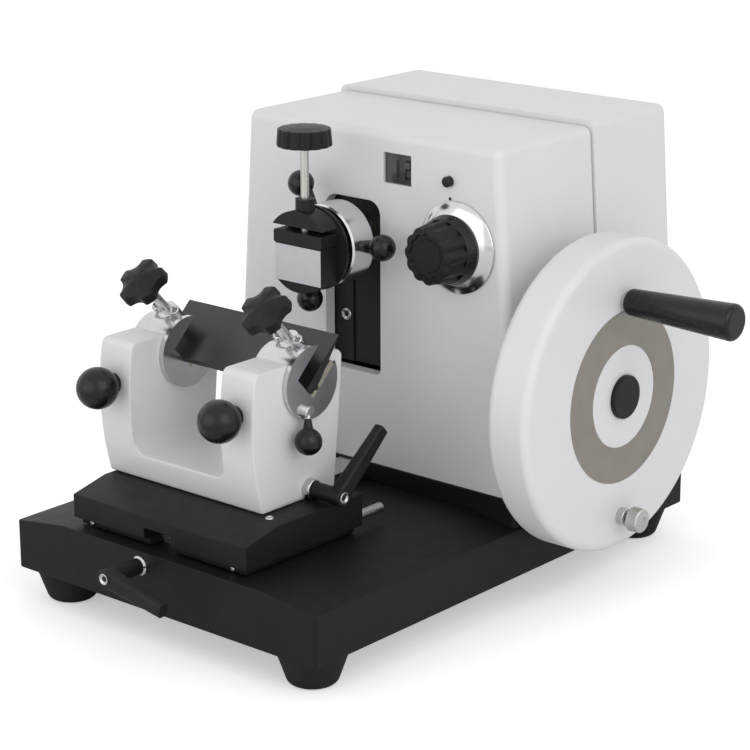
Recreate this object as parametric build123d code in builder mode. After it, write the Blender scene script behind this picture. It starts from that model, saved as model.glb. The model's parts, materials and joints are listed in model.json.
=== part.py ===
import os
from math import cos, radians, sin, sqrt, tan

from build123d import *

os.makedirs("parts", exist_ok=True)

# Rotary microtome, millimetres, +Z up, front towards -Y, handwheel towards +X.
# The origin is under the middle of the whole machine, on the surface it stands on.

# Fits between pieces
running_fit = 0.05
sliding_gap = 0.3
seat_gap = 0.2

# Base slab with a crowned top, on four rubber feet
base_width = 240
base_depth = 353
slab_height = 30
crown_rise = 5.5
crown_shoulder = 40
slab_corner_radius = 2
foot_height = 20
foot_top_radius = 21
foot_bottom_radius = 14
foot_round = 5
foot_inset = 22

# Plinth under the housing
plinth_back_inset = 4
plinth_front_step = 1.5
plinth_left_inset = 9
plinth_right_inset = 1
plinth_rise = 17.5
plinth_corner_radius = 3

# Front housing, a thin casting open at the back and below
housing_depth = 88
housing_height = 208.8
housing_left_inset = 11
housing_right_inset = 1.6
housing_side_lean = 15.3
front_wall = 8
side_wall = 6
top_wall = 5
housing_front_radius = 6
housing_top_radius = 5

# Rear cover, slightly larger all round than the front housing
joint_line = 1
cover_depth = 79.5
cover_back_step = 2
cover_proud = 1.4
cover_rise = 3.5
cover_wall = 4
cover_corner_radius = 8
cover_screw_radius = 2
cover_screw_head_radius = 4
cover_screw_head = 2.5
cover_screw_length = 12
cover_screw_rise = 8
cover_screw_spacing = 75
cover_lug_width = 16
cover_lug_depth = 8

# Specimen slot in the front wall
slot_width = 44.2
slot_height = 108.4
slot_rise = 57.1
slot_left = 150.2
slot_top_radius = 9
slot_low_radius = 4

# Specimen axis and the moving casting behind the slot
head_offset = 128
head_rise = 140.5
stroke = 58
slide_width = 68
slide_depth = 62
slide_height = 114
slide_setback = 9.5
slide_foot_gap = 1.5
column_radius = 6
column_spacing = 46
column_setback = 47.6
bridge_rise = 192.5
bridge_thickness = 6
bridge_width = 70
bridge_depth = 28
bridge_corner_radius = 4
strip_width = 14.5
strip_thickness = 1.2
strip_edge = 12.5
strip_length = 64
slide_corner = 2

# Crank and yoke that drive the casting
crank_thickness = 8
crank_rim = 7
crank_pin_radius = 5
crank_pin_gap = 0.5
crank_edge = 1
yoke_thickness = 6
yoke_height = 22
yoke_slot_depth = 3.5
yoke_overrun = 3.5

# Handwheel, its shaft and bearings
wheel_axis_rise = 61.9
wheel_axis_setback = 48.1
wheel_gap = 11
wheel_width = 29
wheel_radius = 94
wheel_edge_radius = 5
wheel_ring_inner = 30.8
wheel_ring_outer = 52.3
wheel_ring_sunk = 1
wheel_ring_proud = 0.3
dish_inner = 36
dish_outer = 66
dish_depth = 15
shaft_radius = 9
shaft_end_sunk = 2
hub_cap_radius = 13.1
hub_cap_height = 3
bearing_radius = 14
bearing_width = 12
bearing_boss_wall = 5
bearing_lip = 3
bracket_width = 14
bracket_gap = 8
bracket_foot = 56
bracket_wall = 6

# Crank handle on the wheel face
grip_orbit = 58
grip_gap = 2
grip_length = 73.5
grip_root_radius = 7.8
grip_end_radius = 11
grip_round = 3
spindle_radius = 4
spindle_collar = 5.5
grip_end_wall = 9

# Lock plunger near the rim and its bush in the plinth
plunger_orbit = 74
plunger_pin_radius = 3
plunger_travel = 8
plunger_sleeve_radius = 5
plunger_sleeve_length = 5
plunger_head_radius = 7.5
plunger_head_wall = 3
plunger_cup_depth = 5
plunger_pin_setback = 0.5
bush_radius = 5
bush_reach = 9
bush_bore_depth = 14

# Feed arm, screw and ratchet
arm_radius = 13
arm_length = 72
arm_screw_depth = 47
feed_travel = 25
tunnel_end_wall = 6
screw_radius = 4
screw_collar_radius = 7
screw_collar = 3.4
ratchet_radius = 14
ratchet_teeth = 24
ratchet_tooth_depth = 1.6
ratchet_width = 6
pawl_pivot_side = 17
pawl_pivot_rise = 17
pawl_pin_radius = 2
pawl_eye_radius = 4
pawl_width = 4

# Specimen head and its two-way gimbal
head_radius = 25
head_length = 19
head_setback = 27.5
head_cavity_radius = 20.5
head_cavity_depth = 14.5
gimbal_depth = 7.3
swing_ring_radius = 19
swing_ring_inner = 15.2
core_radius = 14.3
gimbal_thickness = 8
trunnion_radius = 2
trunnion_reach = 23
core_trunnion_reach = 18
head_ball_radius = 8
head_ball_orbit = 41
head_ball_setback = 20
head_stud_radius = 3
head_stud_seat = 21.2
head_neck_radius = 4.2
head_ball_angles = {"right": 5, "upper": 125, "lower": 245}

# Specimen clamp
clamp_radius = 24.8
clamp_length = 17.5
clamp_gap = 4.5
flange_radius = 25.5
flange_thickness = 2.5
mouth_floor = 19
mouth_roof = 15
mouth_depth = 14
cap_flat = 25
boss_radius = 5.8
boss_height = 6.5
boss_setback = 7.2
insert_height = 22.7
insert_width = 36.5
jaw_width = 38
jaw_height = 7.7
jaw_travel = 3
clamp_spindle_radius = 6
clamp_spindle_head = 8
clamp_spindle_washer = 1.5
clamp_screw_radius = 2.5
clamp_screw_socket = 4
clamp_screw_reach = 32
clamp_knob_radius = 16
clamp_knob_height = 11
clamp_knob_flutes = 8
clamp_knob_flute_radius = 3.4
knob_edge = 1

# Thickness dial, counter window and reset button
dial_offset = 46.5
dial_rise = 147
dial_ring_back_radius = 27
dial_ring_front_radius = 26.4
dial_ring_thickness = 6.2
dial_knob_radius = 18.5
dial_knob_length = 22
dial_knob_scallops = 10
dial_knob_scallop_radius = 3.2
dial_knob_recess = 1.5
dial_spindle_radius = 4
cam_radius = 12
cam_throw = 4
cam_thickness = 6
window_offset = 92.65
window_rise = 187.2
window_width = 21.5
window_height = 18.6
window_sunk = 1.8
window_pane = 2
counter_depth = 12
counter_flange = 3
button_offset = 53
button_rise = 185.5
button_radius = 3.2
button_proud = 1.8
button_travel = 2
button_flange_radius = 5
button_flange = 2

# Carriage on its dovetail way
carriage_offset = 127.4
way_front_inset = 20
way_half_width = 10.45
way_rise = 11
way_dovetail = 4.5
way_angle = 60
plate_width = 140
plate_length = 98.5
plate_setback = 7
plate_rise = 4.5
plate_thickness = 20
plate_front_height = 14.2
plate_bevel_run = 26
bar_recess = 3.5
bar_floor_gap = 0.8
rod_radius = 3
rod_inset = 5.6
rod_reach = 22.5
rod_seat = 20
rod_rise = 8.5
gib_screw_radius = 1.6
gib_screw_head = 1.5
gib_screw_seat = 6
gib_screw_inset = 13

# Front lever on the base
front_lever_offset = 132.6
front_lever_drop = 1.5
lever_stud_radius = 3
lever_stud_length = 14
lever_collar_radius = 5.8
lever_collar_depth = 4
lever_hub_radius = 4.9
lever_head_radius = 5.6
lever_head_length = 9
front_hub_length = 27
front_arm_length = 44
front_arm_angle = -12
arm_root_width = 11
arm_root_thickness = 8.5
arm_tip_width = 8
arm_tip_thickness = 6.5
arm_round = 2
lever_screw_radius = 3.4
lever_screw_sunk = 0.8

# Knife block, a U-shaped casting
block_width = 124.5
block_shift = 10.3
block_height = 83.5
block_front_foot = 40
block_front_bulge = 33
block_front_top = 36.5
block_bulge_rise = 50.1
block_back_foot = 101.5
block_back_waist = 104.2
block_back_top = 109.5
block_waist_rise = 25.1
tower_width = 26
block_floor = 17
block_inner_radius = 8
block_top_radius = 5
knife_relief_angle = 37
knife_relief_floor = -1.5

# Knife cradle: two drums turning in the towers
drum_setback = 79.5
drum_rise = 70
drum_radius = 20
drum_bore_gap = 0.1
drum_disc_radius = 21.5
drum_disc_thickness = 3
knife_angle = 43.6
slot_floor = -7.5
slot_roof = 11.2
slot_end = -6
rest_height = 4
rest_length = 24
rest_hole_radius = 1.6
rest_hole_depth = 6
knife_length = 120
knife_shift = 6.7
knife_spine = 6
knife_back = -5.6
knife_edge = 32.1
knife_taper_start = 4
knife_facet = 4.6
knife_facet_thickness = 1.5
knife_edge_thickness = 0.2

# Knife clamp screws with five-lobed knobs
star_reach = 15
star_boss_radius = 6
star_boss_top = 18
star_screw_radius = 3
star_screw_gap = 0.3
star_knob_bottom = 40
star_knob_height = 12
star_hub_radius = 11
star_lobes = 5
star_lobe_orbit = 10.8
star_lobe_radius = 5.2

# Ball knobs that lock the drums
lock_ball_radius = 12.5
lock_ball_setback = 20
lock_ball_drop = 12
lock_stud_radius = 4
lock_neck_radius = 6
lock_neck_length = 11
lock_end_gap = 1.2

# Small ball lever under the right drum disc
tilt_ball_radius = 8
tilt_ball_orbit = 33
tilt_ball_angle = 249.6
tilt_ball_out = 7
tilt_stem_radius = 2
tilt_foot_orbit = 17
tilt_foot_radius = 3.5
tilt_foot_height = 4.5

# Long lever on the block's right side
side_lever_setback = 79
side_lever_rise = 6
side_hub_length = 27.5
side_collar_radius = 5.5
side_collar_depth = 4
side_arm_length = 49
side_arm_angle = 40

# Directions and end alignment for round pieces
along_x = (0, 90, 0)
along_y = (-90, 0, 0)
from_end = (Align.CENTER, Align.CENTER, Align.MIN)
to_end = (Align.CENTER, Align.CENTER, Align.MAX)

# Places worked out from the sizes above
grip_reach = wheel_gap + wheel_width + grip_gap + grip_length
lever_reach = lever_collar_depth + front_hub_length
base_right = (base_width - grip_reach) / 2
base_left = base_right - base_width
base_middle = (base_left + base_right) / 2
base_front = -(base_depth - lever_reach) / 2
base_back = base_front + base_depth
slab_bottom = foot_height
slab_edge_top = slab_bottom + slab_height
crown_top = slab_edge_top + crown_rise

plinth_back = base_back - plinth_back_inset
cover_back = plinth_back - cover_back_step
cover_front = cover_back - cover_depth
housing_back = cover_front - joint_line
housing_front = housing_back - housing_depth
plinth_front = housing_front - plinth_front_step
plinth_depth = plinth_back - plinth_front
plinth_left = base_left + plinth_left_inset
plinth_right = base_right - plinth_right_inset
plinth_top = slab_edge_top + plinth_rise

housing_left = base_left + housing_left_inset
housing_right = base_right - housing_right_inset
housing_top = plinth_top + housing_height
wall_back = housing_front + front_wall
side_lean = housing_side_lean / housing_height

cover_top = housing_top + cover_rise

head_x = base_right - head_offset
head_z = plinth_top + head_rise

slide_left = head_x - slide_width / 2
slide_right = head_x + slide_width / 2
slide_front = housing_front + slide_setback
slide_back = slide_front + slide_depth
slide_bottom = plinth_top + stroke + slide_foot_gap
column_y = housing_front + column_setback
column_places = [(head_x + side * column_spacing / 2, column_y) for side in (-1, 1)]
bridge_bottom = plinth_top + bridge_rise
bridge_top = bridge_bottom + bridge_thickness

wheel_y = housing_front + wheel_axis_setback
wheel_z = plinth_top + wheel_axis_rise
wheel_back = base_right + wheel_gap
wheel_face = wheel_back + wheel_width
crank_radius = stroke / 2
crank_inner = slide_right + crank_pin_gap + yoke_slot_depth
crank_outer = crank_inner + crank_thickness
shaft_end = wheel_face - shaft_end_sunk
wheel_plane = Plane.YZ.offset(wheel_back)

wall_at_axis = housing_right - side_lean * wheel_axis_rise
outer_bearing_right = wall_at_axis - bearing_lip
outer_bearing_left = outer_bearing_right - bearing_width
bracket_left = crank_outer + bracket_gap
bracket_right = bracket_left + bracket_width

head_front = housing_front - head_setback
head_back = head_front + head_length
gimbal_y = head_front + gimbal_depth
clamp_back = head_front - clamp_gap
clamp_front = clamp_back - clamp_length
mouth_bottom = head_z - mouth_floor
mouth_top = head_z + mouth_roof
mouth_back = clamp_front + mouth_depth
screw_y = clamp_front + boss_setback
jaw_bottom = mouth_bottom + insert_height + sliding_gap
jaw_top = jaw_bottom + jaw_height
clamp_top = head_z + cap_flat
boss_top = clamp_top + boss_height

dial_x = base_right - dial_offset
dial_z = plinth_top + dial_rise
window_x = base_right - window_offset
window_z = plinth_top + window_rise
button_x = base_right - button_offset
button_z = plinth_top + button_rise

carriage_x = base_right - carriage_offset
plate_left = carriage_x - plate_width / 2
plate_right = carriage_x + plate_width / 2
plate_front = base_front + plate_setback
plate_back = plate_front + plate_length
plate_bottom = crown_top + plate_rise
plate_top = plate_bottom + plate_thickness
bar_front = plate_front + bar_recess
bar_back = plate_back - bar_recess

block_x = carriage_x - block_shift
block_left = block_x - block_width / 2
block_right = block_x + block_width / 2
block_bottom = plate_top + seat_gap
block_top = block_bottom + block_height
towers = {"left": block_left, "right": block_right - tower_width}

drum_y = base_front + drum_setback
drum_z = block_bottom + drum_rise
blade_direction = (0, cos(radians(knife_angle)), sin(radians(knife_angle)))
blade_normal = (0, -sin(radians(knife_angle)), cos(radians(knife_angle)))
blade_plane = Plane(origin=(0, drum_y, drum_z), x_dir=blade_direction, z_dir=(1, 0, 0))
rest_top = slot_floor + rest_height
knife_top = rest_top + knife_spine
knife_left = block_x + knife_shift - knife_length / 2


# Base slab
with BuildPart() as base_slab:
    with BuildSketch(Plane.XZ.offset(-base_front)) as slab_section:
        with BuildLine():
            Polyline(
                (base_left, slab_bottom),
                (base_right, slab_bottom),
                (base_right, slab_edge_top),
                (base_right - crown_shoulder, crown_top),
                (base_left + crown_shoulder, crown_top),
                (base_left, slab_edge_top),
                close=True,
            )
        make_face()
    extrude(amount=-base_depth)
    fillet(base_slab.edges().filter_by(Axis.Z), slab_corner_radius)
    front_lever_x = base_right - front_lever_offset
    front_lever_z = crown_top - lever_collar_radius - front_lever_drop
    with Locations((front_lever_x, base_front, front_lever_z)):
        Cylinder(
            lever_stud_radius + running_fit,
            lever_stud_length + sliding_gap,
            rotation=along_y,
            align=from_end,
            mode=Mode.SUBTRACT,
        )
base_slab.part.label = "base_slab"
export_step(base_slab.part, "parts/base_slab.step")

# Four tapered feet
with BuildPart() as rubber_foot:
    with BuildSketch(Plane.XZ) as foot_section:
        with BuildLine():
            Polyline(
                (0, 0),
                (foot_bottom_radius, 0),
                (foot_top_radius, foot_height),
                (0, foot_height),
                close=True,
            )
        make_face()
        fillet(foot_section.vertices().group_by(Axis.Y)[0].sort_by(Axis.X)[-1], foot_round)
    revolve(axis=Axis.Z)
with BuildPart() as rubber_feet:
    with Locations((base_middle, (base_front + base_back) / 2)):
        with GridLocations(base_width - 2 * foot_inset, base_depth - 2 * foot_inset, 2, 2):
            add(rubber_foot.part)
rubber_feet.part.label = "rubber_feet"
export_step(rubber_feet.part, "parts/rubber_feet.step")

# Dovetail way along the crown
way_length = plinth_front - base_front - way_front_inset
dovetail_run = way_dovetail / tan(radians(way_angle))
with BuildPart() as carriage_way:
    with BuildSketch(Plane.XZ.offset(-(base_front + way_front_inset))) as way_section:
        with BuildLine():
            Polyline(
                (carriage_x - way_half_width + dovetail_run, crown_top),
                (carriage_x + way_half_width - dovetail_run, crown_top),
                (carriage_x + way_half_width, crown_top + way_dovetail),
                (carriage_x + way_half_width, crown_top + way_rise),
                (carriage_x - way_half_width, crown_top + way_rise),
                (carriage_x - way_half_width, crown_top + way_dovetail),
                close=True,
            )
        make_face()
    extrude(amount=-way_length)
carriage_way.part.label = "carriage_way"
export_step(carriage_way.part, "parts/carriage_way.step")

# Plinth with the lock bush and three lugs for the rear cover
lug_places = [(base_middle + step * cover_screw_spacing, cover_back - cover_wall) for step in (-1, 0, 1)]
cover_screw_z = plinth_top + cover_screw_rise
bush_z = wheel_z - plunger_orbit
with BuildPart() as plinth:
    with BuildSketch(Plane.XZ.offset(-plinth_front)) as plinth_section:
        with BuildLine():
            Polyline(
                (plinth_left, slab_edge_top),
                (plinth_right, slab_edge_top),
                (plinth_right, plinth_top),
                (plinth_left, plinth_top),
                close=True,
            )
        make_face()
        add(slab_section.sketch_local, mode=Mode.SUBTRACT)
    extrude(amount=-plinth_depth)
    fillet(plinth.edges().filter_by(Axis.Z), plinth_corner_radius)
    with Locations((plinth_right, wheel_y, bush_z)):
        Cylinder(bush_radius, bush_reach, rotation=along_x, align=from_end)
    with Locations((plinth_right + bush_reach, wheel_y, bush_z)):
        Cylinder(
            plunger_pin_radius + running_fit,
            bush_bore_depth,
            rotation=along_x,
            align=to_end,
            mode=Mode.SUBTRACT,
        )
    with Locations(*[(x, y, plinth_top) for x, y in lug_places]):
        Box(
            cover_lug_width,
            cover_lug_depth,
            cover_screw_rise + cover_lug_depth,
            align=(Align.CENTER, Align.MAX, Align.MIN),
        )
    with Locations(*[(x, y, cover_screw_z) for x, y in lug_places]):
        Cylinder(
            cover_screw_radius + running_fit,
            cover_lug_depth,
            rotation=along_y,
            align=to_end,
            mode=Mode.SUBTRACT,
        )
plinth.part.label = "plinth"
export_step(plinth.part, "parts/plinth.step")

# Front housing
slot_x = base_right - slot_left + slot_width / 2
slot_z = plinth_top + slot_rise + slot_height / 2
boss_outer_radius = bearing_radius + bearing_boss_wall
with BuildPart() as front_housing:
    with BuildSketch(Plane.XZ.offset(-housing_front)) as housing_section:
        with BuildLine():
            Polyline(
                (housing_left, plinth_top),
                (housing_right, plinth_top),
                (housing_right - housing_side_lean, housing_top),
                (housing_left + housing_side_lean, housing_top),
                close=True,
            )
        make_face()
    extrude(amount=-housing_depth)
    top_edges = front_housing.edges().filter_by(Axis.Y).group_by(Axis.Z)[-1]
    fillet(top_edges, housing_top_radius)
    front_edges = front_housing.faces().sort_by(Axis.Y)[0].edges()
    fillet(front_edges.sort_by(Axis.Z)[1:], housing_front_radius)
    with BuildSketch(Plane.XZ.offset(-wall_back)) as housing_room:
        with BuildLine():
            Polyline(
                (housing_left + side_wall, plinth_top),
                (housing_right - side_wall, plinth_top),
                (housing_right - side_wall - housing_side_lean, housing_top - top_wall),
                (housing_left + side_wall + housing_side_lean, housing_top - top_wall),
                close=True,
            )
        make_face()
    extrude(amount=-(housing_depth - front_wall), mode=Mode.SUBTRACT)
    with BuildSketch(Plane.XZ.offset(-housing_front)) as slot_outline:
        with Locations((slot_x, slot_z)):
            Rectangle(slot_width, slot_height)
        fillet(slot_outline.vertices().group_by(Axis.Y)[-1], slot_top_radius)
        fillet(slot_outline.vertices().group_by(Axis.Y)[0], slot_low_radius)
    extrude(amount=-front_wall, mode=Mode.SUBTRACT)
    with BuildSketch(Plane.XZ.offset(-housing_front)):
        with Locations((window_x, window_z)):
            Rectangle(window_width, window_height)
    extrude(amount=-front_wall, mode=Mode.SUBTRACT)
    with Locations((dial_x, housing_front, dial_z)):
        Cylinder(
            dial_spindle_radius + running_fit,
            front_wall,
            rotation=along_y,
            align=from_end,
            mode=Mode.SUBTRACT,
        )
    with Locations((button_x, housing_front, button_z)):
        Cylinder(
            button_radius + running_fit,
            front_wall,
            rotation=along_y,
            align=from_end,
            mode=Mode.SUBTRACT,
        )
    with Locations((outer_bearing_left, wheel_y, wheel_z)):
        Cylinder(boss_outer_radius, bearing_width, rotation=along_x, align=from_end)
        Cylinder(bearing_radius, bearing_width, rotation=along_x, align=from_end, mode=Mode.SUBTRACT)
        Cylinder(
            shaft_radius + sliding_gap,
            bearing_width + housing_side_lean,
            rotation=along_x,
            align=from_end,
            mode=Mode.SUBTRACT,
        )
front_housing.part.label = "front_housing"
export_step(front_housing.part, "parts/front_housing.step")

# Rear cover
with BuildPart() as rear_cover:
    with BuildSketch(Plane.XZ.offset(-cover_front)):
        with BuildLine():
            Polyline(
                (housing_left - cover_proud, plinth_top),
                (housing_right + cover_proud, plinth_top),
                (housing_right + cover_proud - housing_side_lean, cover_top),
                (housing_left - cover_proud + housing_side_lean, cover_top),
                close=True,
            )
        make_face()
    extrude(amount=-cover_depth)
    cover_top_edges = rear_cover.edges().filter_by(Axis.Y).group_by(Axis.Z)[-1]
    fillet(cover_top_edges, housing_top_radius)
    cover_back_edges = rear_cover.faces().sort_by(Axis.Y)[-1].edges()
    fillet(cover_back_edges.sort_by(Axis.Z)[1:], cover_corner_radius)
    with BuildSketch(Plane.XZ.offset(-cover_front)):
        with BuildLine():
            Polyline(
                (housing_left - cover_proud + cover_wall, plinth_top),
                (housing_right + cover_proud - cover_wall, plinth_top),
                (housing_right + cover_proud - cover_wall - housing_side_lean, cover_top - cover_wall),
                (housing_left - cover_proud + cover_wall + housing_side_lean, cover_top - cover_wall),
                close=True,
            )
        make_face()
    extrude(amount=-(cover_depth - cover_wall), mode=Mode.SUBTRACT)
    with Locations(*[(x, y, cover_screw_z) for x, y in lug_places]):
        Cylinder(
            cover_screw_radius + running_fit,
            cover_wall,
            rotation=along_y,
            align=from_end,
            mode=Mode.SUBTRACT,
        )
rear_cover.part.label = "rear_cover"
export_step(rear_cover.part, "parts/rear_cover.step")

with BuildPart() as rear_cover_screws:
    with Locations(*[(x, cover_back, cover_screw_z) for x, y in lug_places]):
        Cylinder(cover_screw_radius, cover_screw_length, rotation=along_y, align=to_end)
        Cylinder(cover_screw_head_radius, cover_screw_head, rotation=along_y, align=from_end)
    fillet(rear_cover_screws.edges().group_by(Axis.Y)[-1], knob_edge)
rear_cover_screws.part.label = "rear_cover_screws"
export_step(rear_cover_screws.part, "parts/rear_cover_screws.step")

# Counter behind its window
with BuildPart() as counter_window:
    with Locations((window_x, housing_front + window_sunk, window_z)):
        Box(
            window_width - seat_gap,
            window_pane,
            window_height - seat_gap,
            align=(Align.CENTER, Align.MIN, Align.CENTER),
        )
counter_window.part.label = "counter_window"
export_step(counter_window.part, "parts/counter_window.step")

with BuildPart() as counter_module:
    with Locations((window_x, housing_front + window_sunk + window_pane, window_z)):
        Box(
            window_width - seat_gap,
            counter_depth,
            window_height - seat_gap,
            align=(Align.CENTER, Align.MIN, Align.CENTER),
        )
    with Locations((window_x, wall_back, window_z)):
        Box(
            window_width + 2 * counter_flange,
            counter_flange,
            window_height + counter_flange,
            align=(Align.CENTER, Align.MIN, Align.CENTER),
        )
counter_module.part.label = "counter_module"
export_step(counter_module.part, "parts/counter_module.step")

# Two guide columns under a bridge
with BuildPart() as guide_columns:
    with Locations(*[(x, y, plinth_top) for x, y in column_places]):
        Cylinder(column_radius, bridge_top - plinth_top, align=from_end)
    chamfer(guide_columns.edges().group_by(Axis.Z)[-1], knob_edge)
guide_columns.part.label = "guide_columns"
export_step(guide_columns.part, "parts/guide_columns.step")

with BuildPart() as column_bridge:
    with BuildSketch(Plane.XY.offset(bridge_bottom)):
        with Locations((head_x, column_y)):
            RectangleRounded(bridge_width, bridge_depth, bridge_corner_radius)
        with Locations(*column_places):
            Circle(column_radius + running_fit, mode=Mode.SUBTRACT)
    extrude(amount=bridge_thickness)
column_bridge.part.label = "column_bridge"
export_step(column_bridge.part, "parts/column_bridge.step")

# Inner shaft bracket and the two bearings
with BuildPart() as shaft_bracket:
    with BuildSketch(Plane.YZ.offset(bracket_left)):
        with Locations((wheel_y, wheel_z)):
            Circle(bearing_radius + bracket_wall)
        with BuildLine():
            Polyline(
                (wheel_y - bracket_foot / 2, plinth_top),
                (wheel_y + bracket_foot / 2, plinth_top),
                (wheel_y + bearing_radius + bracket_wall, wheel_z),
                (wheel_y - bearing_radius - bracket_wall, wheel_z),
                close=True,
            )
        make_face()
        with Locations((wheel_y, wheel_z)):
            Circle(bearing_radius, mode=Mode.SUBTRACT)
    extrude(amount=bracket_width)
shaft_bracket.part.label = "shaft_bracket"
export_step(shaft_bracket.part, "parts/shaft_bracket.step")

with BuildPart() as shaft_bearings:
    with Locations((outer_bearing_left, wheel_y, wheel_z), (bracket_left, wheel_y, wheel_z)):
        Cylinder(bearing_radius, bearing_width, rotation=along_x, align=from_end)
        Cylinder(
            shaft_radius + running_fit,
            bearing_width,
            rotation=along_x,
            align=from_end,
            mode=Mode.SUBTRACT,
        )
shaft_bearings.part.label = "shaft_bearings"
export_step(shaft_bearings.part, "parts/shaft_bearings.step")

# Collar of the front lever
with BuildPart() as front_lever_collar:
    with Locations((front_lever_x, base_front, front_lever_z)):
        Cylinder(lever_collar_radius, lever_collar_depth, rotation=along_y, align=to_end)
        Cylinder(
            lever_stud_radius + running_fit,
            lever_collar_depth,
            rotation=along_y,
            align=to_end,
            mode=Mode.SUBTRACT,
        )
    chamfer(front_lever_collar.edges().group_by(Axis.Y)[0].sort_by(SortBy.RADIUS)[-1], knob_edge)
front_lever_collar.part.label = "front_lever_collar"
export_step(front_lever_collar.part, "parts/front_lever_collar.step")

# Main shaft with the crank disc on its inner end
with BuildPart() as main_shaft:
    with Locations((crank_inner, wheel_y, wheel_z)):
        Cylinder(shaft_radius, shaft_end - crank_inner, rotation=along_x, align=from_end)
    chamfer(main_shaft.edges().filter_by(GeomType.CIRCLE), knob_edge)
main_shaft.part.label = "main_shaft"
export_step(main_shaft.part, "parts/main_shaft.step")

with BuildPart() as crank_disc:
    with Locations((crank_inner, wheel_y, wheel_z)):
        Cylinder(crank_radius + crank_rim, crank_thickness, rotation=along_x, align=from_end)
    chamfer(crank_disc.edges().filter_by(GeomType.CIRCLE), crank_edge)
    with Locations((crank_inner, wheel_y, wheel_z)):
        Cylinder(
            shaft_radius + running_fit,
            crank_thickness,
            rotation=along_x,
            align=from_end,
            mode=Mode.SUBTRACT,
        )
    with Locations((crank_inner, wheel_y, wheel_z + crank_radius)):
        Cylinder(crank_pin_radius, yoke_slot_depth, rotation=along_x, align=to_end)
crank_disc.part.label = "crank_disc"
export_step(crank_disc.part, "parts/crank_disc.step")

# Handwheel: flat face, dished back, seat for the bare metal ring
with BuildPart() as handwheel:
    with BuildSketch(wheel_plane):
        with Locations((wheel_y, wheel_z)):
            Circle(wheel_radius)
    extrude(amount=wheel_width)
    fillet(handwheel.edges().filter_by(GeomType.CIRCLE), wheel_edge_radius)
    with BuildSketch(wheel_plane):
        with Locations((wheel_y, wheel_z)):
            Circle(dish_outer)
            Circle(dish_inner, mode=Mode.SUBTRACT)
    extrude(amount=dish_depth, mode=Mode.SUBTRACT)
    with BuildSketch(wheel_plane.offset(wheel_width)):
        with Locations((wheel_y, wheel_z)):
            Circle(wheel_ring_outer + running_fit)
            Circle(wheel_ring_inner - running_fit, mode=Mode.SUBTRACT)
    extrude(amount=-wheel_ring_sunk, mode=Mode.SUBTRACT)
    with BuildSketch(wheel_plane):
        with Locations((wheel_y, wheel_z)):
            Circle(shaft_radius + running_fit)
        with Locations((wheel_y, wheel_z + grip_orbit)):
            Circle(spindle_radius + running_fit)
        with Locations((wheel_y, wheel_z - plunger_orbit)):
            Circle(plunger_pin_radius + running_fit)
    extrude(amount=wheel_width, mode=Mode.SUBTRACT)
handwheel.part.label = "handwheel"
export_step(handwheel.part, "parts/handwheel.step")

with BuildPart() as wheel_ring:
    with BuildSketch(wheel_plane.offset(wheel_width - wheel_ring_sunk)):
        with Locations((wheel_y, wheel_z)):
            Circle(wheel_ring_outer)
            Circle(wheel_ring_inner, mode=Mode.SUBTRACT)
    extrude(amount=wheel_ring_sunk + wheel_ring_proud)
wheel_ring.part.label = "wheel_ring"
export_step(wheel_ring.part, "parts/wheel_ring.step")

with BuildPart() as hub_cap:
    with Locations((wheel_face, wheel_y, wheel_z)):
        Cylinder(hub_cap_radius, hub_cap_height, rotation=along_x, align=from_end)
    fillet(hub_cap.edges().group_by(Axis.X)[-1], knob_edge)
    with Locations((wheel_face, wheel_y, wheel_z)):
        Cylinder(shaft_radius, shaft_end_sunk - seat_gap, rotation=along_x, align=to_end)
hub_cap.part.label = "hub_cap"
export_step(hub_cap.part, "parts/hub_cap.step")

# Handle: a spindle in the wheel's web and a loose tapered grip
grip_z = wheel_z + grip_orbit
grip_root = wheel_face + grip_gap
grip_end = grip_root + grip_length
web_back = wheel_back + dish_depth
spindle_end = grip_end - grip_end_wall
with BuildPart() as grip_spindle:
    with Locations((web_back, wheel_y, grip_z)):
        Cylinder(spindle_radius, spindle_end - web_back, rotation=along_x, align=from_end)
    with Locations((wheel_face, wheel_y, grip_z)):
        Cylinder(spindle_collar, grip_gap - sliding_gap, rotation=along_x, align=from_end)
grip_spindle.part.label = "grip_spindle"
export_step(grip_spindle.part, "parts/grip_spindle.step")

with BuildPart() as hand_grip:
    with BuildSketch(Plane.XZ.offset(-wheel_y)) as grip_section:
        with BuildLine():
            Polyline(
                (grip_root, grip_z),
                (grip_end, grip_z),
                (grip_end, grip_z + grip_end_radius),
                (grip_root, grip_z + grip_root_radius),
                close=True,
            )
        make_face()
        outer_corners = grip_section.vertices().group_by(Axis.Y)[1:]
        fillet([corner for level in outer_corners for corner in level], grip_round)
    revolve(axis=Axis((0, wheel_y, grip_z), (1, 0, 0)))
    with Locations((grip_root, wheel_y, grip_z)):
        Cylinder(
            spindle_radius + running_fit,
            spindle_end + sliding_gap - grip_root,
            rotation=along_x,
            align=from_end,
            mode=Mode.SUBTRACT,
        )
hand_grip.part.label = "hand_grip"
export_step(hand_grip.part, "parts/hand_grip.step")

# Lock plunger
plunger_z = wheel_z - plunger_orbit
sleeve_end = wheel_face + plunger_sleeve_length
cup_bottom = sleeve_end + plunger_travel + sliding_gap
plunger_cap = cup_bottom + plunger_head_wall
plunger_start = wheel_back + plunger_pin_setback
with BuildPart() as plunger_sleeve:
    with Locations((wheel_face, wheel_y, plunger_z)):
        Cylinder(plunger_sleeve_radius, plunger_sleeve_length, rotation=along_x, align=from_end)
        Cylinder(
            plunger_pin_radius + running_fit,
            plunger_sleeve_length,
            rotation=along_x,
            align=from_end,
            mode=Mode.SUBTRACT,
        )
plunger_sleeve.part.label = "plunger_sleeve"
export_step(plunger_sleeve.part, "parts/plunger_sleeve.step")

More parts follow.
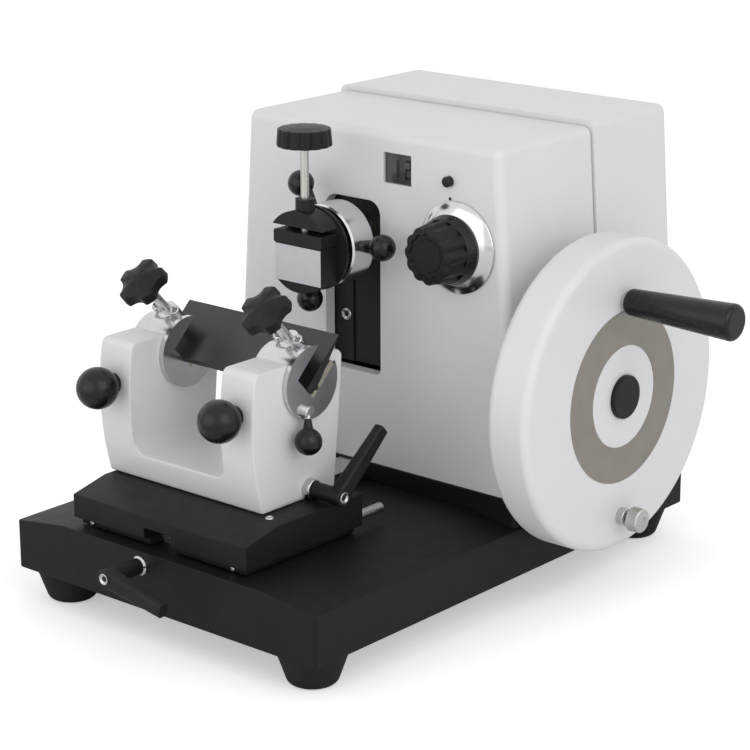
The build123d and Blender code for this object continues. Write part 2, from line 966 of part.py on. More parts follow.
with BuildPart() as lock_plunger:
    with Locations((plunger_cap, wheel_y, plunger_z)):
        Cylinder(
            plunger_head_radius,
            plunger_head_wall + plunger_cup_depth,
            rotation=along_x,
            align=to_end,
        )
    chamfer(lock_plunger.edges().filter_by(GeomType.CIRCLE), knob_edge)
    with Locations((cup_bottom, wheel_y, plunger_z)):
        Cylinder(
            plunger_sleeve_radius + sliding_gap,
            plunger_cup_depth,
            rotation=along_x,
            align=to_end,
            mode=Mode.SUBTRACT,
        )
        Cylinder(plunger_pin_radius, cup_bottom - plunger_start, rotation=along_x, align=to_end)
lock_plunger.part.label = "lock_plunger"
export_step(lock_plunger.part, "parts/lock_plunger.step")

# Moving casting on the columns: arm tunnel, screw bore, yoke for the crank pin
yoke_z = wheel_z + crank_radius
yoke_back = wheel_y + crank_radius + crank_pin_radius + 2 * yoke_overrun
yoke_slot_length = 2 * (crank_radius + crank_pin_radius + yoke_overrun)
tunnel_end = slide_back - tunnel_end_wall
pawl_x = head_x - pawl_pivot_side
pawl_z = head_z + pawl_pivot_rise
ratchet_front = slide_back + sliding_gap + screw_collar
ratchet_back = ratchet_front + ratchet_width
with BuildPart() as vertical_slide:
    with BuildSketch(Plane.XY.offset(slide_bottom)) as casting_outline:
        with Locations((head_x, slide_front)):
            Rectangle(slide_width, slide_depth, align=(Align.CENTER, Align.MIN))
        chamfer(casting_outline.vertices(), slide_corner)
    extrude(amount=slide_height)
    with Locations((slide_right, slide_front, yoke_z)):
        Box(
            yoke_thickness,
            yoke_back - slide_front,
            yoke_height,
            align=(Align.MAX, Align.MIN, Align.CENTER),
        )
    with BuildSketch(Plane.XY.offset(slide_bottom)):
        with Locations(*column_places):
            Circle(column_radius + running_fit)
    extrude(amount=slide_height, mode=Mode.SUBTRACT)
    with Locations((head_x, slide_front, head_z)):
        Cylinder(
            arm_radius + running_fit,
            slide_depth - tunnel_end_wall,
            rotation=along_y,
            align=from_end,
            mode=Mode.SUBTRACT,
        )
        Cylinder(
            screw_radius + running_fit,
            slide_depth,
            rotation=along_y,
            align=from_end,
            mode=Mode.SUBTRACT,
        )
    with Locations((slide_right, wheel_y, yoke_z)):
        Box(
            yoke_slot_depth,
            yoke_slot_length,
            2 * (crank_pin_radius + sliding_gap),
            align=(Align.MAX, Align.CENTER, Align.CENTER),
            mode=Mode.SUBTRACT,
        )
    with Locations((pawl_x, slide_back, pawl_z)):
        Cylinder(pawl_pin_radius, ratchet_back - slide_back, rotation=along_y, align=from_end)
vertical_slide.part.label = "vertical_slide"
export_step(vertical_slide.part, "parts/vertical_slide.step")

strip_x = slide_left + strip_edge
with BuildPart() as slide_strip:
    with Locations((strip_x, slide_front, slide_bottom)):
        Box(strip_width, strip_thickness, strip_length, align=(Align.MIN, Align.MAX, Align.MIN))
    fillet(slide_strip.edges().filter_by(Axis.Z).group_by(Axis.Y)[0], strip_thickness / 2)
slide_strip.part.label = "slide_strip"
export_step(slide_strip.part, "parts/slide_strip.step")

# Feed screw, ratchet wheel and pawl
arm_back = head_back + arm_length
arm_bore_front = arm_back - arm_screw_depth
with BuildPart() as feed_screw:
    with Locations((head_x, arm_bore_front + screw_radius, head_z)):
        Cylinder(
            screw_radius,
            ratchet_back - arm_bore_front - screw_radius,
            rotation=along_y,
            align=from_end,
        )
    with Locations((head_x, slide_back + sliding_gap, head_z)):
        Cylinder(screw_collar_radius, screw_collar, rotation=along_y, align=from_end)
feed_screw.part.label = "feed_screw"
export_step(feed_screw.part, "parts/feed_screw.step")

tooth_step = 360 / ratchet_teeth
root_radius = ratchet_radius - ratchet_tooth_depth
tooth_cut = ratchet_tooth_depth / cos(radians(tooth_step))
with BuildPart() as ratchet_wheel:
    with BuildSketch(Plane.XZ.offset(-ratchet_back)) as ratchet_outline:
        with Locations((head_x, head_z)):
            Circle(ratchet_radius)
            with PolarLocations(0, ratchet_teeth):
                with BuildLine():
                    Polyline(
                        (root_radius, 0),
                        (ratchet_radius + tooth_cut, 0),
                        (
                            (ratchet_radius + tooth_cut) * cos(radians(tooth_step)),
                            (ratchet_radius + tooth_cut) * sin(radians(tooth_step)),
                        ),
                        close=True,
                    )
                make_face(mode=Mode.SUBTRACT)
            Circle(screw_radius + running_fit, mode=Mode.SUBTRACT)
    extrude(amount=ratchet_width)
ratchet_wheel.part.label = "ratchet_wheel"
export_step(ratchet_wheel.part, "parts/ratchet_wheel.step")

pawl_reach = sqrt(pawl_pivot_side**2 + pawl_pivot_rise**2) - ratchet_radius - sliding_gap
pawl_plane = Plane(
    origin=(pawl_x, ratchet_front, pawl_z),
    x_dir=(pawl_pivot_side, 0, -pawl_pivot_rise),
    z_dir=(0, 1, 0),
)
with BuildPart() as feed_pawl:
    with BuildSketch(pawl_plane):
        Circle(pawl_eye_radius)
        with BuildLine():
            Polyline(
                (0, pawl_eye_radius),
                (pawl_reach, pawl_pin_radius),
                (pawl_reach, -pawl_pin_radius / 2),
                (0, -pawl_eye_radius),
                close=True,
            )
        make_face()
        Circle(pawl_pin_radius + running_fit, mode=Mode.SUBTRACT)
    extrude(amount=pawl_width)
feed_pawl.part.label = "feed_pawl"
export_step(feed_pawl.part, "parts/feed_pawl.step")

# Feed arm carrying the round head
with BuildPart() as feed_arm:
    with Locations((head_x, head_back, head_z)):
        Cylinder(arm_radius, arm_length, rotation=along_y, align=from_end)
    chamfer(feed_arm.edges().group_by(Axis.Y)[-1], knob_edge)
    with Locations((head_x, arm_back, head_z)):
        Cylinder(
            screw_radius + running_fit,
            arm_screw_depth,
            rotation=along_y,
            align=to_end,
            mode=Mode.SUBTRACT,
        )
feed_arm.part.label = "feed_arm"
export_step(feed_arm.part, "parts/feed_arm.step")

ball_y = housing_front - head_ball_setback
with BuildPart() as orientation_head:
    with Locations((head_x, head_front, head_z)):
        Cylinder(head_radius, head_length, rotation=along_y, align=from_end)
    chamfer(orientation_head.edges().filter_by(GeomType.CIRCLE), knob_edge)
    with Locations((head_x, head_front, head_z)):
        Cylinder(
            head_cavity_radius,
            head_cavity_depth,
            rotation=along_y,
            align=from_end,
            mode=Mode.SUBTRACT,
        )
    with Locations((head_x, gimbal_y, head_z)):
        Cylinder(trunnion_radius + running_fit, 2 * (trunnion_reach + sliding_gap), mode=Mode.SUBTRACT)
    for angle in head_ball_angles.values():
        outward = (cos(radians(angle)), 0, sin(radians(angle)))
        knob_plane = Plane(origin=(head_x, ball_y, head_z), x_dir=(0, 1, 0), z_dir=outward)
        with BuildSketch(knob_plane):
            Circle(head_stud_radius + running_fit)
        extrude(amount=head_radius + sliding_gap, mode=Mode.SUBTRACT)
orientation_head.part.label = "orientation_head"
export_step(orientation_head.part, "parts/orientation_head.step")

# Gimbal: the ring swings on upright trunnions, the core tilts on level ones
with BuildPart() as swing_ring:
    with Locations((head_x, gimbal_y, head_z)):
        Cylinder(swing_ring_radius, gimbal_thickness, rotation=along_y)
        Cylinder(trunnion_radius, 2 * trunnion_reach)
        Cylinder(swing_ring_inner, 2 * gimbal_thickness, rotation=along_y, mode=Mode.SUBTRACT)
        Cylinder(
            trunnion_radius + running_fit,
            2 * (core_trunnion_reach + sliding_gap),
            rotation=along_x,
            mode=Mode.SUBTRACT,
        )
swing_ring.part.label = "swing_ring"
export_step(swing_ring.part, "parts/swing_ring.step")

with BuildPart() as tilt_core:
    with Locations((head_x, gimbal_y, head_z)):
        Cylinder(core_radius, gimbal_thickness, rotation=along_y)
        Cylinder(trunnion_radius, 2 * core_trunnion_reach, rotation=along_x)
        Cylinder(
            clamp_spindle_radius + running_fit,
            gimbal_thickness,
            rotation=along_y,
            mode=Mode.SUBTRACT,
        )
tilt_core.part.label = "tilt_core"
export_step(tilt_core.part, "parts/tilt_core.step")

# Specimen clamp: round body with a mouth across it, cap boss above
spindle_back = gimbal_y + gimbal_thickness / 2 + sliding_gap
with BuildPart() as clamp_body:
    with Locations((head_x, clamp_front, head_z)):
        Cylinder(clamp_radius, clamp_length, rotation=along_y, align=from_end)
    with Locations((head_x, clamp_back, head_z)):
        Cylinder(flange_radius, flange_thickness, rotation=along_y, align=to_end)
    with Locations((head_x, clamp_front, mouth_bottom)):
        Box(
            2 * flange_radius,
            mouth_depth,
            mouth_top - mouth_bottom,
            align=(Align.CENTER, Align.MIN, Align.MIN),
            mode=Mode.SUBTRACT,
        )
    with Locations((head_x, screw_y, mouth_top)):
        Cylinder(boss_radius, boss_top - mouth_top, align=from_end)
        Cylinder(
            clamp_screw_radius + running_fit,
            boss_top - mouth_top,
            align=from_end,
            mode=Mode.SUBTRACT,
        )
    with Locations((head_x, clamp_back, head_z)):
        Cylinder(clamp_spindle_radius, spindle_back - clamp_back, rotation=along_y, align=from_end)
    with Locations((head_x, spindle_back, head_z)):
        Cylinder(clamp_spindle_head, clamp_spindle_washer, rotation=along_y, align=from_end)
clamp_body.part.label = "clamp_body"
export_step(clamp_body.part, "parts/clamp_body.step")

with BuildPart() as clamp_insert:
    with BuildSketch(Plane.XZ.offset(-mouth_back)) as insert_outline:
        with Locations((head_x, mouth_bottom)):
            Rectangle(insert_width, insert_height, align=(Align.CENTER, Align.MIN))
        chamfer(insert_outline.vertices().group_by(Axis.Y)[0], knob_edge)
    extrude(amount=mouth_depth)
clamp_insert.part.label = "clamp_insert"
export_step(clamp_insert.part, "parts/clamp_insert.step")

with BuildPart() as clamp_jaw:
    with Locations((head_x, mouth_back - seat_gap, jaw_bottom)):
        Box(
            jaw_width,
            mouth_depth - seat_gap,
            jaw_height,
            align=(Align.CENTER, Align.MAX, Align.MIN),
        )
    chamfer(clamp_jaw.edges().filter_by(Axis.Y), knob_edge / 2)
    with Locations((head_x, screw_y, jaw_top)):
        Cylinder(
            clamp_screw_radius + running_fit,
            clamp_screw_socket,
            align=to_end,
            mode=Mode.SUBTRACT,
        )
clamp_jaw.part.label = "clamp_jaw"
export_step(clamp_jaw.part, "parts/clamp_jaw.step")

clamp_knob_bottom = boss_top + clamp_screw_reach
with BuildPart() as clamp_screw:
    with Locations((head_x, screw_y, jaw_top - clamp_screw_socket)):
        Cylinder(
            clamp_screw_radius,
            clamp_knob_bottom - jaw_top + clamp_screw_socket,
            align=from_end,
        )
clamp_screw.part.label = "clamp_screw"
export_step(clamp_screw.part, "parts/clamp_screw.step")

with BuildPart() as clamp_knob:
    with BuildSketch(Plane.XY.offset(clamp_knob_bottom)) as clamp_knob_outline:
        with Locations((head_x, screw_y)):
            Circle(clamp_knob_radius)
            with PolarLocations(clamp_knob_radius + clamp_knob_flute_radius / 2, clamp_knob_flutes):
                Circle(clamp_knob_flute_radius, mode=Mode.SUBTRACT)
    extrude(amount=clamp_knob_height)
    fillet(clamp_knob.edges().group_by(Axis.Z)[-1], knob_edge)
    fillet(clamp_knob.edges().group_by(Axis.Z)[0], knob_edge)
clamp_knob.part.label = "clamp_knob"
export_step(clamp_knob.part, "parts/clamp_knob.step")

# Three ball knobs that lock the head
for place, angle in head_ball_angles.items():
    outward = (cos(radians(angle)), 0, sin(radians(angle)))
    knob_plane = Plane(origin=(head_x, ball_y, head_z), x_dir=(0, 1, 0), z_dir=outward)
    with BuildPart(knob_plane) as head_lock_knob:
        with Locations((0, 0, head_ball_orbit)):
            Sphere(head_ball_radius)
        with Locations((0, 0, head_radius + sliding_gap)):
            Cylinder(head_neck_radius, head_ball_orbit - head_radius - sliding_gap, align=from_end)
        with Locations((0, 0, head_stud_seat)):
            Cylinder(head_stud_radius, head_ball_orbit - head_stud_seat, align=from_end)
    head_lock_knob.part.label = f"head_lock_knob_{place}"
    export_step(head_lock_knob.part, f"parts/head_lock_knob_{place}.step")

# Thickness dial: scale ring, scalloped knob, spindle with a cam
dial_back = housing_front - sliding_gap
ring_front = dial_back - dial_ring_thickness
with BuildPart() as dial_scale_ring:
    with BuildSketch(Plane.XZ.offset(-dial_back)):
        with Locations((dial_x, dial_z)):
            Circle(dial_ring_back_radius)
    with BuildSketch(Plane.XZ.offset(-ring_front)):
        with Locations((dial_x, dial_z)):
            Circle(dial_ring_front_radius)
    loft()
    with Locations((dial_x, dial_back, dial_z)):
        Cylinder(
            dial_spindle_radius + running_fit,
            dial_ring_thickness,
            rotation=along_y,
            align=to_end,
            mode=Mode.SUBTRACT,
        )
dial_scale_ring.part.label = "dial_scale_ring"
export_step(dial_scale_ring.part, "parts/dial_scale_ring.step")

with BuildPart() as dial_knob:
    with BuildSketch(Plane.XZ.offset(-ring_front)):
        with Locations((dial_x, dial_z)):
            Circle(dial_knob_radius)
            with PolarLocations(dial_knob_radius + dial_knob_scallop_radius / 2, dial_knob_scallops):
                Circle(dial_knob_scallop_radius, mode=Mode.SUBTRACT)
    extrude(amount=dial_knob_length)
    fillet(dial_knob.edges().group_by(Axis.Y)[0], knob_edge)
    with Locations((dial_x, ring_front - dial_knob_length, dial_z)):
        Cylinder(
            dial_knob_radius - dial_knob_scallop_radius - knob_edge,
            dial_knob_recess,
            rotation=along_y,
            align=from_end,
            mode=Mode.SUBTRACT,
        )
dial_knob.part.label = "dial_knob"
export_step(dial_knob.part, "parts/dial_knob.step")

cam_front = wall_back + sliding_gap
with BuildPart() as dial_cam:
    with Locations((dial_x, ring_front, dial_z)):
        Cylinder(dial_spindle_radius, cam_front - ring_front, rotation=along_y, align=from_end)
    with Locations((dial_x, cam_front, dial_z + cam_throw)):
        Cylinder(cam_radius, cam_thickness, rotation=along_y, align=from_end)
dial_cam.part.label = "dial_cam"
export_step(dial_cam.part, "parts/dial_cam.step")

# Counter reset button with its stop flange inside
button_front = housing_front - button_proud - button_travel
button_flange_front = wall_back + sliding_gap
with BuildPart() as reset_button:
    with Locations((button_x, button_front, button_z)):
        Cylinder(
            button_radius,
            button_flange_front - button_front,
            rotation=along_y,
            align=from_end,
        )
    fillet(reset_button.edges().group_by(Axis.Y)[0], knob_edge)
    with Locations((button_x, button_flange_front, button_z)):
        Cylinder(button_flange_radius, button_flange, rotation=along_y, align=from_end)
reset_button.part.label = "reset_button"
export_step(reset_button.part, "parts/reset_button.step")

# Carriage: two dovetail bars under a bevelled plate
bar_bottom = crown_top + bar_floor_gap
with BuildPart() as carriage_slide:
    with BuildSketch(Plane.XZ.offset(-bar_front)):
        with BuildLine():
            Polyline(
                (plate_left + bar_recess, bar_bottom),
                (plate_right - bar_recess, bar_bottom),
                (plate_right - bar_recess, plate_bottom),
                (plate_left + bar_recess, plate_bottom),
                close=True,
            )
        make_face()
        offset(way_section.sketch_local, amount=sliding_gap, mode=Mode.SUBTRACT)
    extrude(amount=-(bar_back - bar_front))
carriage_slide.part.label = "carriage_slide"
export_step(carriage_slide.part, "parts/carriage_slide.step")

rod_x = plate_right - rod_inset
rod_z = crown_top + rod_rise
with BuildPart() as carriage_plate:
    with BuildSketch(Plane.YZ.offset(plate_left)):
        with BuildLine():
            Polyline(
                (plate_front, plate_bottom),
                (plate_back, plate_bottom),
                (plate_back, plate_top),
                (plate_front + plate_bevel_run, plate_top),
                (plate_front, plate_bottom + plate_front_height),
                close=True,
            )
        make_face()
    extrude(amount=plate_width)
    with BuildSketch(Plane.XZ.offset(-plate_front)):
        with Locations((carriage_x, plate_bottom)):
            Rectangle(
                2 * (way_half_width + sliding_gap),
                crown_top + way_rise + sliding_gap - plate_bottom,
                align=(Align.CENTER, Align.MIN),
            )
    extrude(amount=-plate_length, mode=Mode.SUBTRACT)
    with Locations((rod_x, plate_back, rod_z)):
        Cylinder(
            rod_radius + running_fit,
            rod_seat,
            rotation=along_y,
            align=to_end,
            mode=Mode.SUBTRACT,
        )
carriage_plate.part.label = "carriage_plate"
export_step(carriage_plate.part, "parts/carriage_plate.step")

with BuildPart() as carriage_rod:
    with Locations((rod_x, plate_back - rod_seat, rod_z)):
        Cylinder(rod_radius, rod_seat + rod_reach, rotation=along_y, align=from_end)
    chamfer(carriage_rod.edges().group_by(Axis.Y)[-1], knob_edge / 2)
carriage_rod.part.label = "carriage_rod"
export_step(carriage_rod.part, "parts/carriage_rod.step")

with BuildPart() as gib_screws:
    gib_z = (bar_bottom + plate_bottom) / 2
    gib_left = plate_left + gib_screw_inset
    gib_right = plate_right - gib_screw_inset
    with Locations((gib_left, bar_front, gib_z), (gib_right, bar_front, gib_z)):
        Cylinder(gib_screw_radius, gib_screw_head, rotation=along_y, align=to_end)
    fillet(gib_screws.edges().group_by(Axis.Y)[0], gib_screw_radius / 2)
gib_screws.part.label = "gib_screws"
export_step(gib_screws.part, "parts/gib_screws.step")

# Front clamp lever: stud in the slab, hub, tapered arm
hub_back = base_front - lever_collar_depth - sliding_gap
hub_front = base_front - lever_reach
front_arm_y = hub_front + lever_head_length / 2
front_arm_direction = (cos(radians(front_arm_angle)), 0, sin(radians(front_arm_angle)))
front_arm_plane = Plane(
    origin=(front_lever_x, front_arm_y, front_lever_z),
    x_dir=(0, 1, 0),
    z_dir=front_arm_direction,
)
with BuildPart() as front_lever:
    with Locations((front_lever_x, hub_front, front_lever_z)):
        Cylinder(lever_head_radius, lever_head_length, rotation=along_y, align=from_end)
    fillet(front_lever.edges().group_by(Axis.Y)[0], knob_edge)
    with Locations((front_lever_x, hub_front, front_lever_z)):
        Cylinder(lever_hub_radius, hub_back - hub_front, rotation=along_y, align=from_end)
    with Locations((front_lever_x, hub_back, front_lever_z)):
        Cylinder(
            lever_stud_radius,
            base_front + lever_stud_length - hub_back,
            rotation=along_y,
            align=from_end,
        )
    with BuildSketch(front_arm_plane):
        RectangleRounded(arm_root_thickness, arm_root_width, arm_round)
    with BuildSketch(front_arm_plane.offset(front_arm_length)):
        RectangleRounded(arm_tip_thickness, arm_tip_width, arm_round)
    loft()
    with Locations((front_lever_x, hub_front, front_lever_z)):
        Cylinder(
            lever_screw_radius,
            lever_screw_sunk,
            rotation=along_y,
            align=from_end,
            mode=Mode.SUBTRACT,
        )
front_lever.part.label = "front_lever"
export_step(front_lever.part, "parts/front_lever.step")

# Knife block: bowed front and back, U between the towers, open drum bores, relief under the knife, stud bores
lock_z = drum_z - lock_ball_drop
side_lever_y = base_front + side_lever_setback
side_lever_z = block_bottom + side_lever_rise
relief_direction = (0, cos(radians(knife_relief_angle)), sin(radians(knife_relief_angle)))
relief_plane = Plane(origin=(block_left, drum_y, drum_z), x_dir=relief_direction, z_dir=(1, 0, 0))
with BuildPart() as knife_block:
    with BuildSketch(Plane.YZ.offset(block_left)) as block_section:
        with BuildLine():
            front_curve = ThreePointArc(
                (base_front + block_front_foot, block_bottom),
                (base_front + block_front_bulge, block_bottom + block_bulge_rise),
                (base_front + block_front_top, block_top),
            )
            back_curve = ThreePointArc(
                (base_front + block_back_top, block_top),
                (base_front + block_back_waist, block_bottom + block_waist_rise),
                (base_front + block_back_foot, block_bottom),
            )
            Line(front_curve @ 1, back_curve @ 0)
            Line(back_curve @ 1, front_curve @ 0)
        make_face()
        fillet(block_section.vertices().group_by(Axis.Y)[-1], block_top_radius)
    extrude(amount=block_width)
    with BuildSketch(Plane.XZ.offset(-base_front)) as block_gap:
        with Locations((block_x, block_bottom + block_floor)):
            Rectangle(
                block_width - 2 * tower_width,
                block_height,
                align=(Align.CENTER, Align.MIN),
            )
        fillet(block_gap.vertices().group_by(Axis.Y)[0], block_inner_radius)
    extrude(amount=-base_depth, mode=Mode.SUBTRACT)
    with Locations((block_left, drum_y, drum_z)):
        Cylinder(
            drum_radius + drum_bore_gap,
            block_width,
            rotation=along_x,
            align=from_end,
            mode=Mode.SUBTRACT,
        )
    with BuildSketch(relief_plane):
        with Locations((0, knife_relief_floor)):
            Rectangle(base_depth, block_height, align=(Align.MIN, Align.MIN))
    extrude(amount=block_width, mode=Mode.SUBTRACT)
    for tower_left in towers.values():
        with Locations((tower_left + tower_width / 2, base_front, lock_z)):
            Cylinder(
                lock_stud_radius + running_fit,
                drum_setback,
                rotation=along_y,
                align=from_end,
                mode=Mode.SUBTRACT,
            )
    with Locations((block_right, side_lever_y, side_lever_z)):
        Cylinder(
            lever_stud_radius + running_fit,
            lever_stud_length + sliding_gap,
            rotation=along_x,
            align=to_end,
            mode=Mode.SUBTRACT,
        )
knife_block.part.label = "knife_block"
export_step(knife_block.part, "parts/knife_block.step")

# Side lever on the block
side_arm_direction = (0, cos(radians(side_arm_angle)), sin(radians(side_arm_angle)))
side_hub_end = block_right + side_hub_length
side_arm_plane = Plane(
    origin=(side_hub_end - lever_head_length / 2, side_lever_y, side_lever_z),
    x_dir=(1, 0, 0),
    z_dir=side_arm_direction,
)
with BuildPart() as side_lever:
    with Locations((side_hub_end, side_lever_y, side_lever_z)):
        Cylinder(lever_head_radius, lever_head_length, rotation=along_x, align=to_end)
    fillet(side_lever.edges().group_by(Axis.X)[-1], knob_edge)
    with Locations((block_right + sliding_gap, side_lever_y, side_lever_z)):
        Cylinder(lever_hub_radius, side_hub_length - lever_head_length, rotation=along_x, align=from_end)
        Cylinder(side_collar_radius, side_collar_depth, rotation=along_x, align=from_end)
        Cylinder(lever_stud_radius, lever_stud_length, rotation=along_x, align=to_end)
    with BuildSketch(side_arm_plane):
        RectangleRounded(arm_root_thickness, arm_root_width, arm_round)
    with BuildSketch(side_arm_plane.offset(side_arm_length)):
        RectangleRounded(arm_tip_thickness, arm_tip_width, arm_round)
    loft()
    with Locations((side_hub_end, side_lever_y, side_lever_z)):
        Cylinder(
            lever_screw_radius,
            lever_screw_sunk,
            rotation=along_x,
            align=to_end,
            mode=Mode.SUBTRACT,
        )
side_lever.part.label = "side_lever"
export_step(side_lever.part, "parts/side_lever.step")

# Drums with a slot for the knife, an end disc and a boss for the clamp screw
star_y = drum_y + star_reach * blade_direction[1]
star_z = drum_z + star_reach * blade_direction[2]
for side, tower_left in towers.items():
    drum_right = tower_left + tower_width + seat_gap
    star_plane = Plane(
        origin=(tower_left + tower_width / 2, star_y, star_z),
        x_dir=(1, 0, 0),
        z_dir=blade_normal,
    )
    with BuildPart() as drum:
        with BuildSketch(blade_plane.offset(tower_left)):
            Circle(drum_radius)
        extrude(amount=tower_width + seat_gap)
        with BuildSketch(blade_plane.offset(drum_right)):
            Circle(drum_disc_radius)
        extrude(amount=drum_disc_thickness)
        with BuildSketch(star_plane):
            Circle(star_boss_radius)
        extrude(amount=star_boss_top)
        with BuildSketch(blade_plane.offset(tower_left)):
            with Locations((slot_end, (slot_floor + slot_roof) / 2)):
                Rectangle(
                    2 * drum_disc_radius,
                    slot_roof - slot_floor,
                    align=(Align.MIN, Align.CENTER),
                )
        extrude(amount=tower_width + seat_gap + drum_disc_thickness, mode=Mode.SUBTRACT)
        with BuildSketch(star_plane):
            Circle(star_screw_radius + running_fit)
        extrude(amount=star_boss_top, mode=Mode.SUBTRACT)
    drum.part.label = f"{side}_drum"
    export_step(drum.part, f"parts/{side}_drum.step")

# Knife rests in both slots
with BuildPart() as knife_rests:
    for tower_left in towers.values():
        rest_width = tower_width + seat_gap + drum_disc_thickness
        with BuildSketch(blade_plane.offset(tower_left)):
            with Locations((slot_end, slot_floor)):
                Rectangle(rest_length, rest_height, align=(Align.MIN, Align.MIN))
        extrude(amount=rest_width)
        with BuildSketch(blade_plane.offset(tower_left + rest_width)):
            with Locations((0, slot_floor + rest_height / 2)):
                Circle(rest_hole_radius)
        extrude(amount=-rest_hole_depth, mode=Mode.SUBTRACT)
knife_rests.part.label = "knife_rests"
export_step(knife_rests.part, "parts/knife_rests.step")

# Knife: straight upper face, tapered body, ground facet at the edge
with BuildPart() as knife:
    with BuildSketch(blade_plane.offset(knife_left)):
        with BuildLine():
            Polyline(
                (knife_back, rest_top),
                (knife_taper_start, rest_top),
                (knife_edge - knife_facet, knife_top - knife_facet_thickness),
                (knife_edge, knife_top - knife_edge_thickness),
                (knife_edge, knife_top),
                (knife_back, knife_top),
                close=True,
            )
        make_face()
    extrude(amount=knife_length)
knife.part.label = "knife"
export_step(knife.part, "parts/knife.step")

# Ball lever that turns the right drum
right_disc_face = towers["right"] + tower_width + seat_gap + drum_disc_thickness
tilt_angle = radians(tilt_ball_angle)
foot_centre = (
    right_disc_face,
    drum_y + tilt_foot_orbit * cos(tilt_angle),
    drum_z + tilt_foot_orbit * sin(tilt_angle),
)
stem_root = Vector(*foot_centre) + Vector(tilt_foot_height - tilt_stem_radius, 0, 0)
ball_centre = Vector(
    right_disc_face + tilt_ball_out,
    drum_y + tilt_ball_orbit * cos(tilt_angle),
    drum_z + tilt_ball_orbit * sin(tilt_angle),
)
stem_length = (ball_centre - stem_root).length
stem_plane = Plane(origin=stem_root, z_dir=ball_centre - stem_root)
with BuildPart() as tilt_lever:
    with Locations(foot_centre):
        Cylinder(tilt_foot_radius, tilt_foot_height, rotation=along_x, align=from_end)
    with BuildSketch(stem_plane):
        Circle(tilt_stem_radius)
    extrude(amount=stem_length)
    with Locations(ball_centre):
        Sphere(tilt_ball_radius)
tilt_lever.part.label = "tilt_lever"
export_step(tilt_lever.part, "parts/tilt_lever.step")

# Five-lobed clamp knobs with their screws
screw_bottom = knife_top + star_screw_gap
for side, tower_left in towers.items():
    star_plane = Plane(
        origin=(tower_left + tower_width / 2, star_y, star_z),
        x_dir=(1, 0, 0),
        z_dir=blade_normal,
    )
    with BuildPart() as star_knob:
        with BuildSketch(star_plane.offset(star_knob_bottom)):
            Circle(star_hub_radius)
            with PolarLocations(star_lobe_orbit, star_lobes):
                Circle(star_lobe_radius)
        extrude(amount=star_knob_height)
        with BuildSketch(star_plane.offset(screw_bottom)):
            Circle(star_screw_radius)
        extrude(amount=star_knob_bottom - screw_bottom)
    star_knob.part.label = f"{side}_star_knob"
    export_step(star_knob.part, f"parts/{side}_star_knob.step")

# Large ball knobs on studs that reach the drums
lock_ball_y = base_front + lock_ball_setback
stud_end = drum_y - sqrt(drum_radius**2 - (lock_ball_drop - lock_stud_radius) ** 2) - lock_end_gap
for side, tower_left in towers.items():
    with BuildPart() as lock_knob:
        with Locations((tower_left + tower_width / 2, lock_ball_y, lock_z)):
            Sphere(lock_ball_radius)
            Cylinder(lock_neck_radius, lock_neck_length, rotation=along_y, align=from_end)
            Cylinder(lock_stud_radius, stud_end - lock_ball_y, rotation=along_y, align=from_end)
    lock_knob.part.label = f"{side}_lock_knob"
    export_step(lock_knob.part, f"parts/{side}_lock_knob.step")
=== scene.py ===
import json
import math

import bmesh
import bpy
from mathutils import Matrix, Vector

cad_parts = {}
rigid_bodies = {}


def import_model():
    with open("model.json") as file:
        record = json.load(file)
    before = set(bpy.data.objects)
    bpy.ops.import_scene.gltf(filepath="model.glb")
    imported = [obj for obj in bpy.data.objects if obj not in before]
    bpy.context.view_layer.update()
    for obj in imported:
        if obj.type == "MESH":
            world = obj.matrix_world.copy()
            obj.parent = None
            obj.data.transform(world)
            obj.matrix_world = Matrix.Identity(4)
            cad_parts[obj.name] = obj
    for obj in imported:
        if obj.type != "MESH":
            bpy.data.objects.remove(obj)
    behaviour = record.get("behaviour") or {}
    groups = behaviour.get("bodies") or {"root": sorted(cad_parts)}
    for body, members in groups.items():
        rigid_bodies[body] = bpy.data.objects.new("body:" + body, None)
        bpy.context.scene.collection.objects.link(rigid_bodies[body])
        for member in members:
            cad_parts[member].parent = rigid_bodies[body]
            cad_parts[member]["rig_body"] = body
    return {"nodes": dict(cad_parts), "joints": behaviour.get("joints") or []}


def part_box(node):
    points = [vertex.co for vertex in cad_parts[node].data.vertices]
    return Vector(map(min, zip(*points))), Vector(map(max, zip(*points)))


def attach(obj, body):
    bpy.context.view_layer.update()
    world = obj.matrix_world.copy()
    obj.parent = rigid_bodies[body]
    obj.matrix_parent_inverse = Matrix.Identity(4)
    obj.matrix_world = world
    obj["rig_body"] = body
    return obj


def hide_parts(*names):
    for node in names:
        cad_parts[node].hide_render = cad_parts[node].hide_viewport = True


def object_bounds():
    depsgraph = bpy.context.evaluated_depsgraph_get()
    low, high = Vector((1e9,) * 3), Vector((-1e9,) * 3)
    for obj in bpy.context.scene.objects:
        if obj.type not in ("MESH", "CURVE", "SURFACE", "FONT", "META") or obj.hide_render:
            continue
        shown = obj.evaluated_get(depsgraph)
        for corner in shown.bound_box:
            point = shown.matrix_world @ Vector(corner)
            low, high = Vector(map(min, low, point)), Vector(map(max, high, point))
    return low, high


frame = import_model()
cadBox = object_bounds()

mm = 0.001
nodes = frame["nodes"]
joints = {joint["name"]: joint for joint in frame["joints"]}
scene = bpy.context.scene
print("frame loaded,", len(nodes), "nodes")


class Wire:  # a socket of a node tree that Python's own signs can join
    def __init__(self, paint, socket):
        self.paint = paint
        self.socket = socket

    def sign(self, operation, first, second):
        return self.paint.node("ShaderNodeMath", {"operation": operation}, {0: first, 1: second})

    def __add__(self, other):
        return self.sign("ADD", self, other)

    def __radd__(self, other):
        return self.sign("ADD", other, self)

    def __mul__(self, other):
        return self.sign("MULTIPLY", self, other)

    def __rmul__(self, other):
        return self.sign("MULTIPLY", other, self)


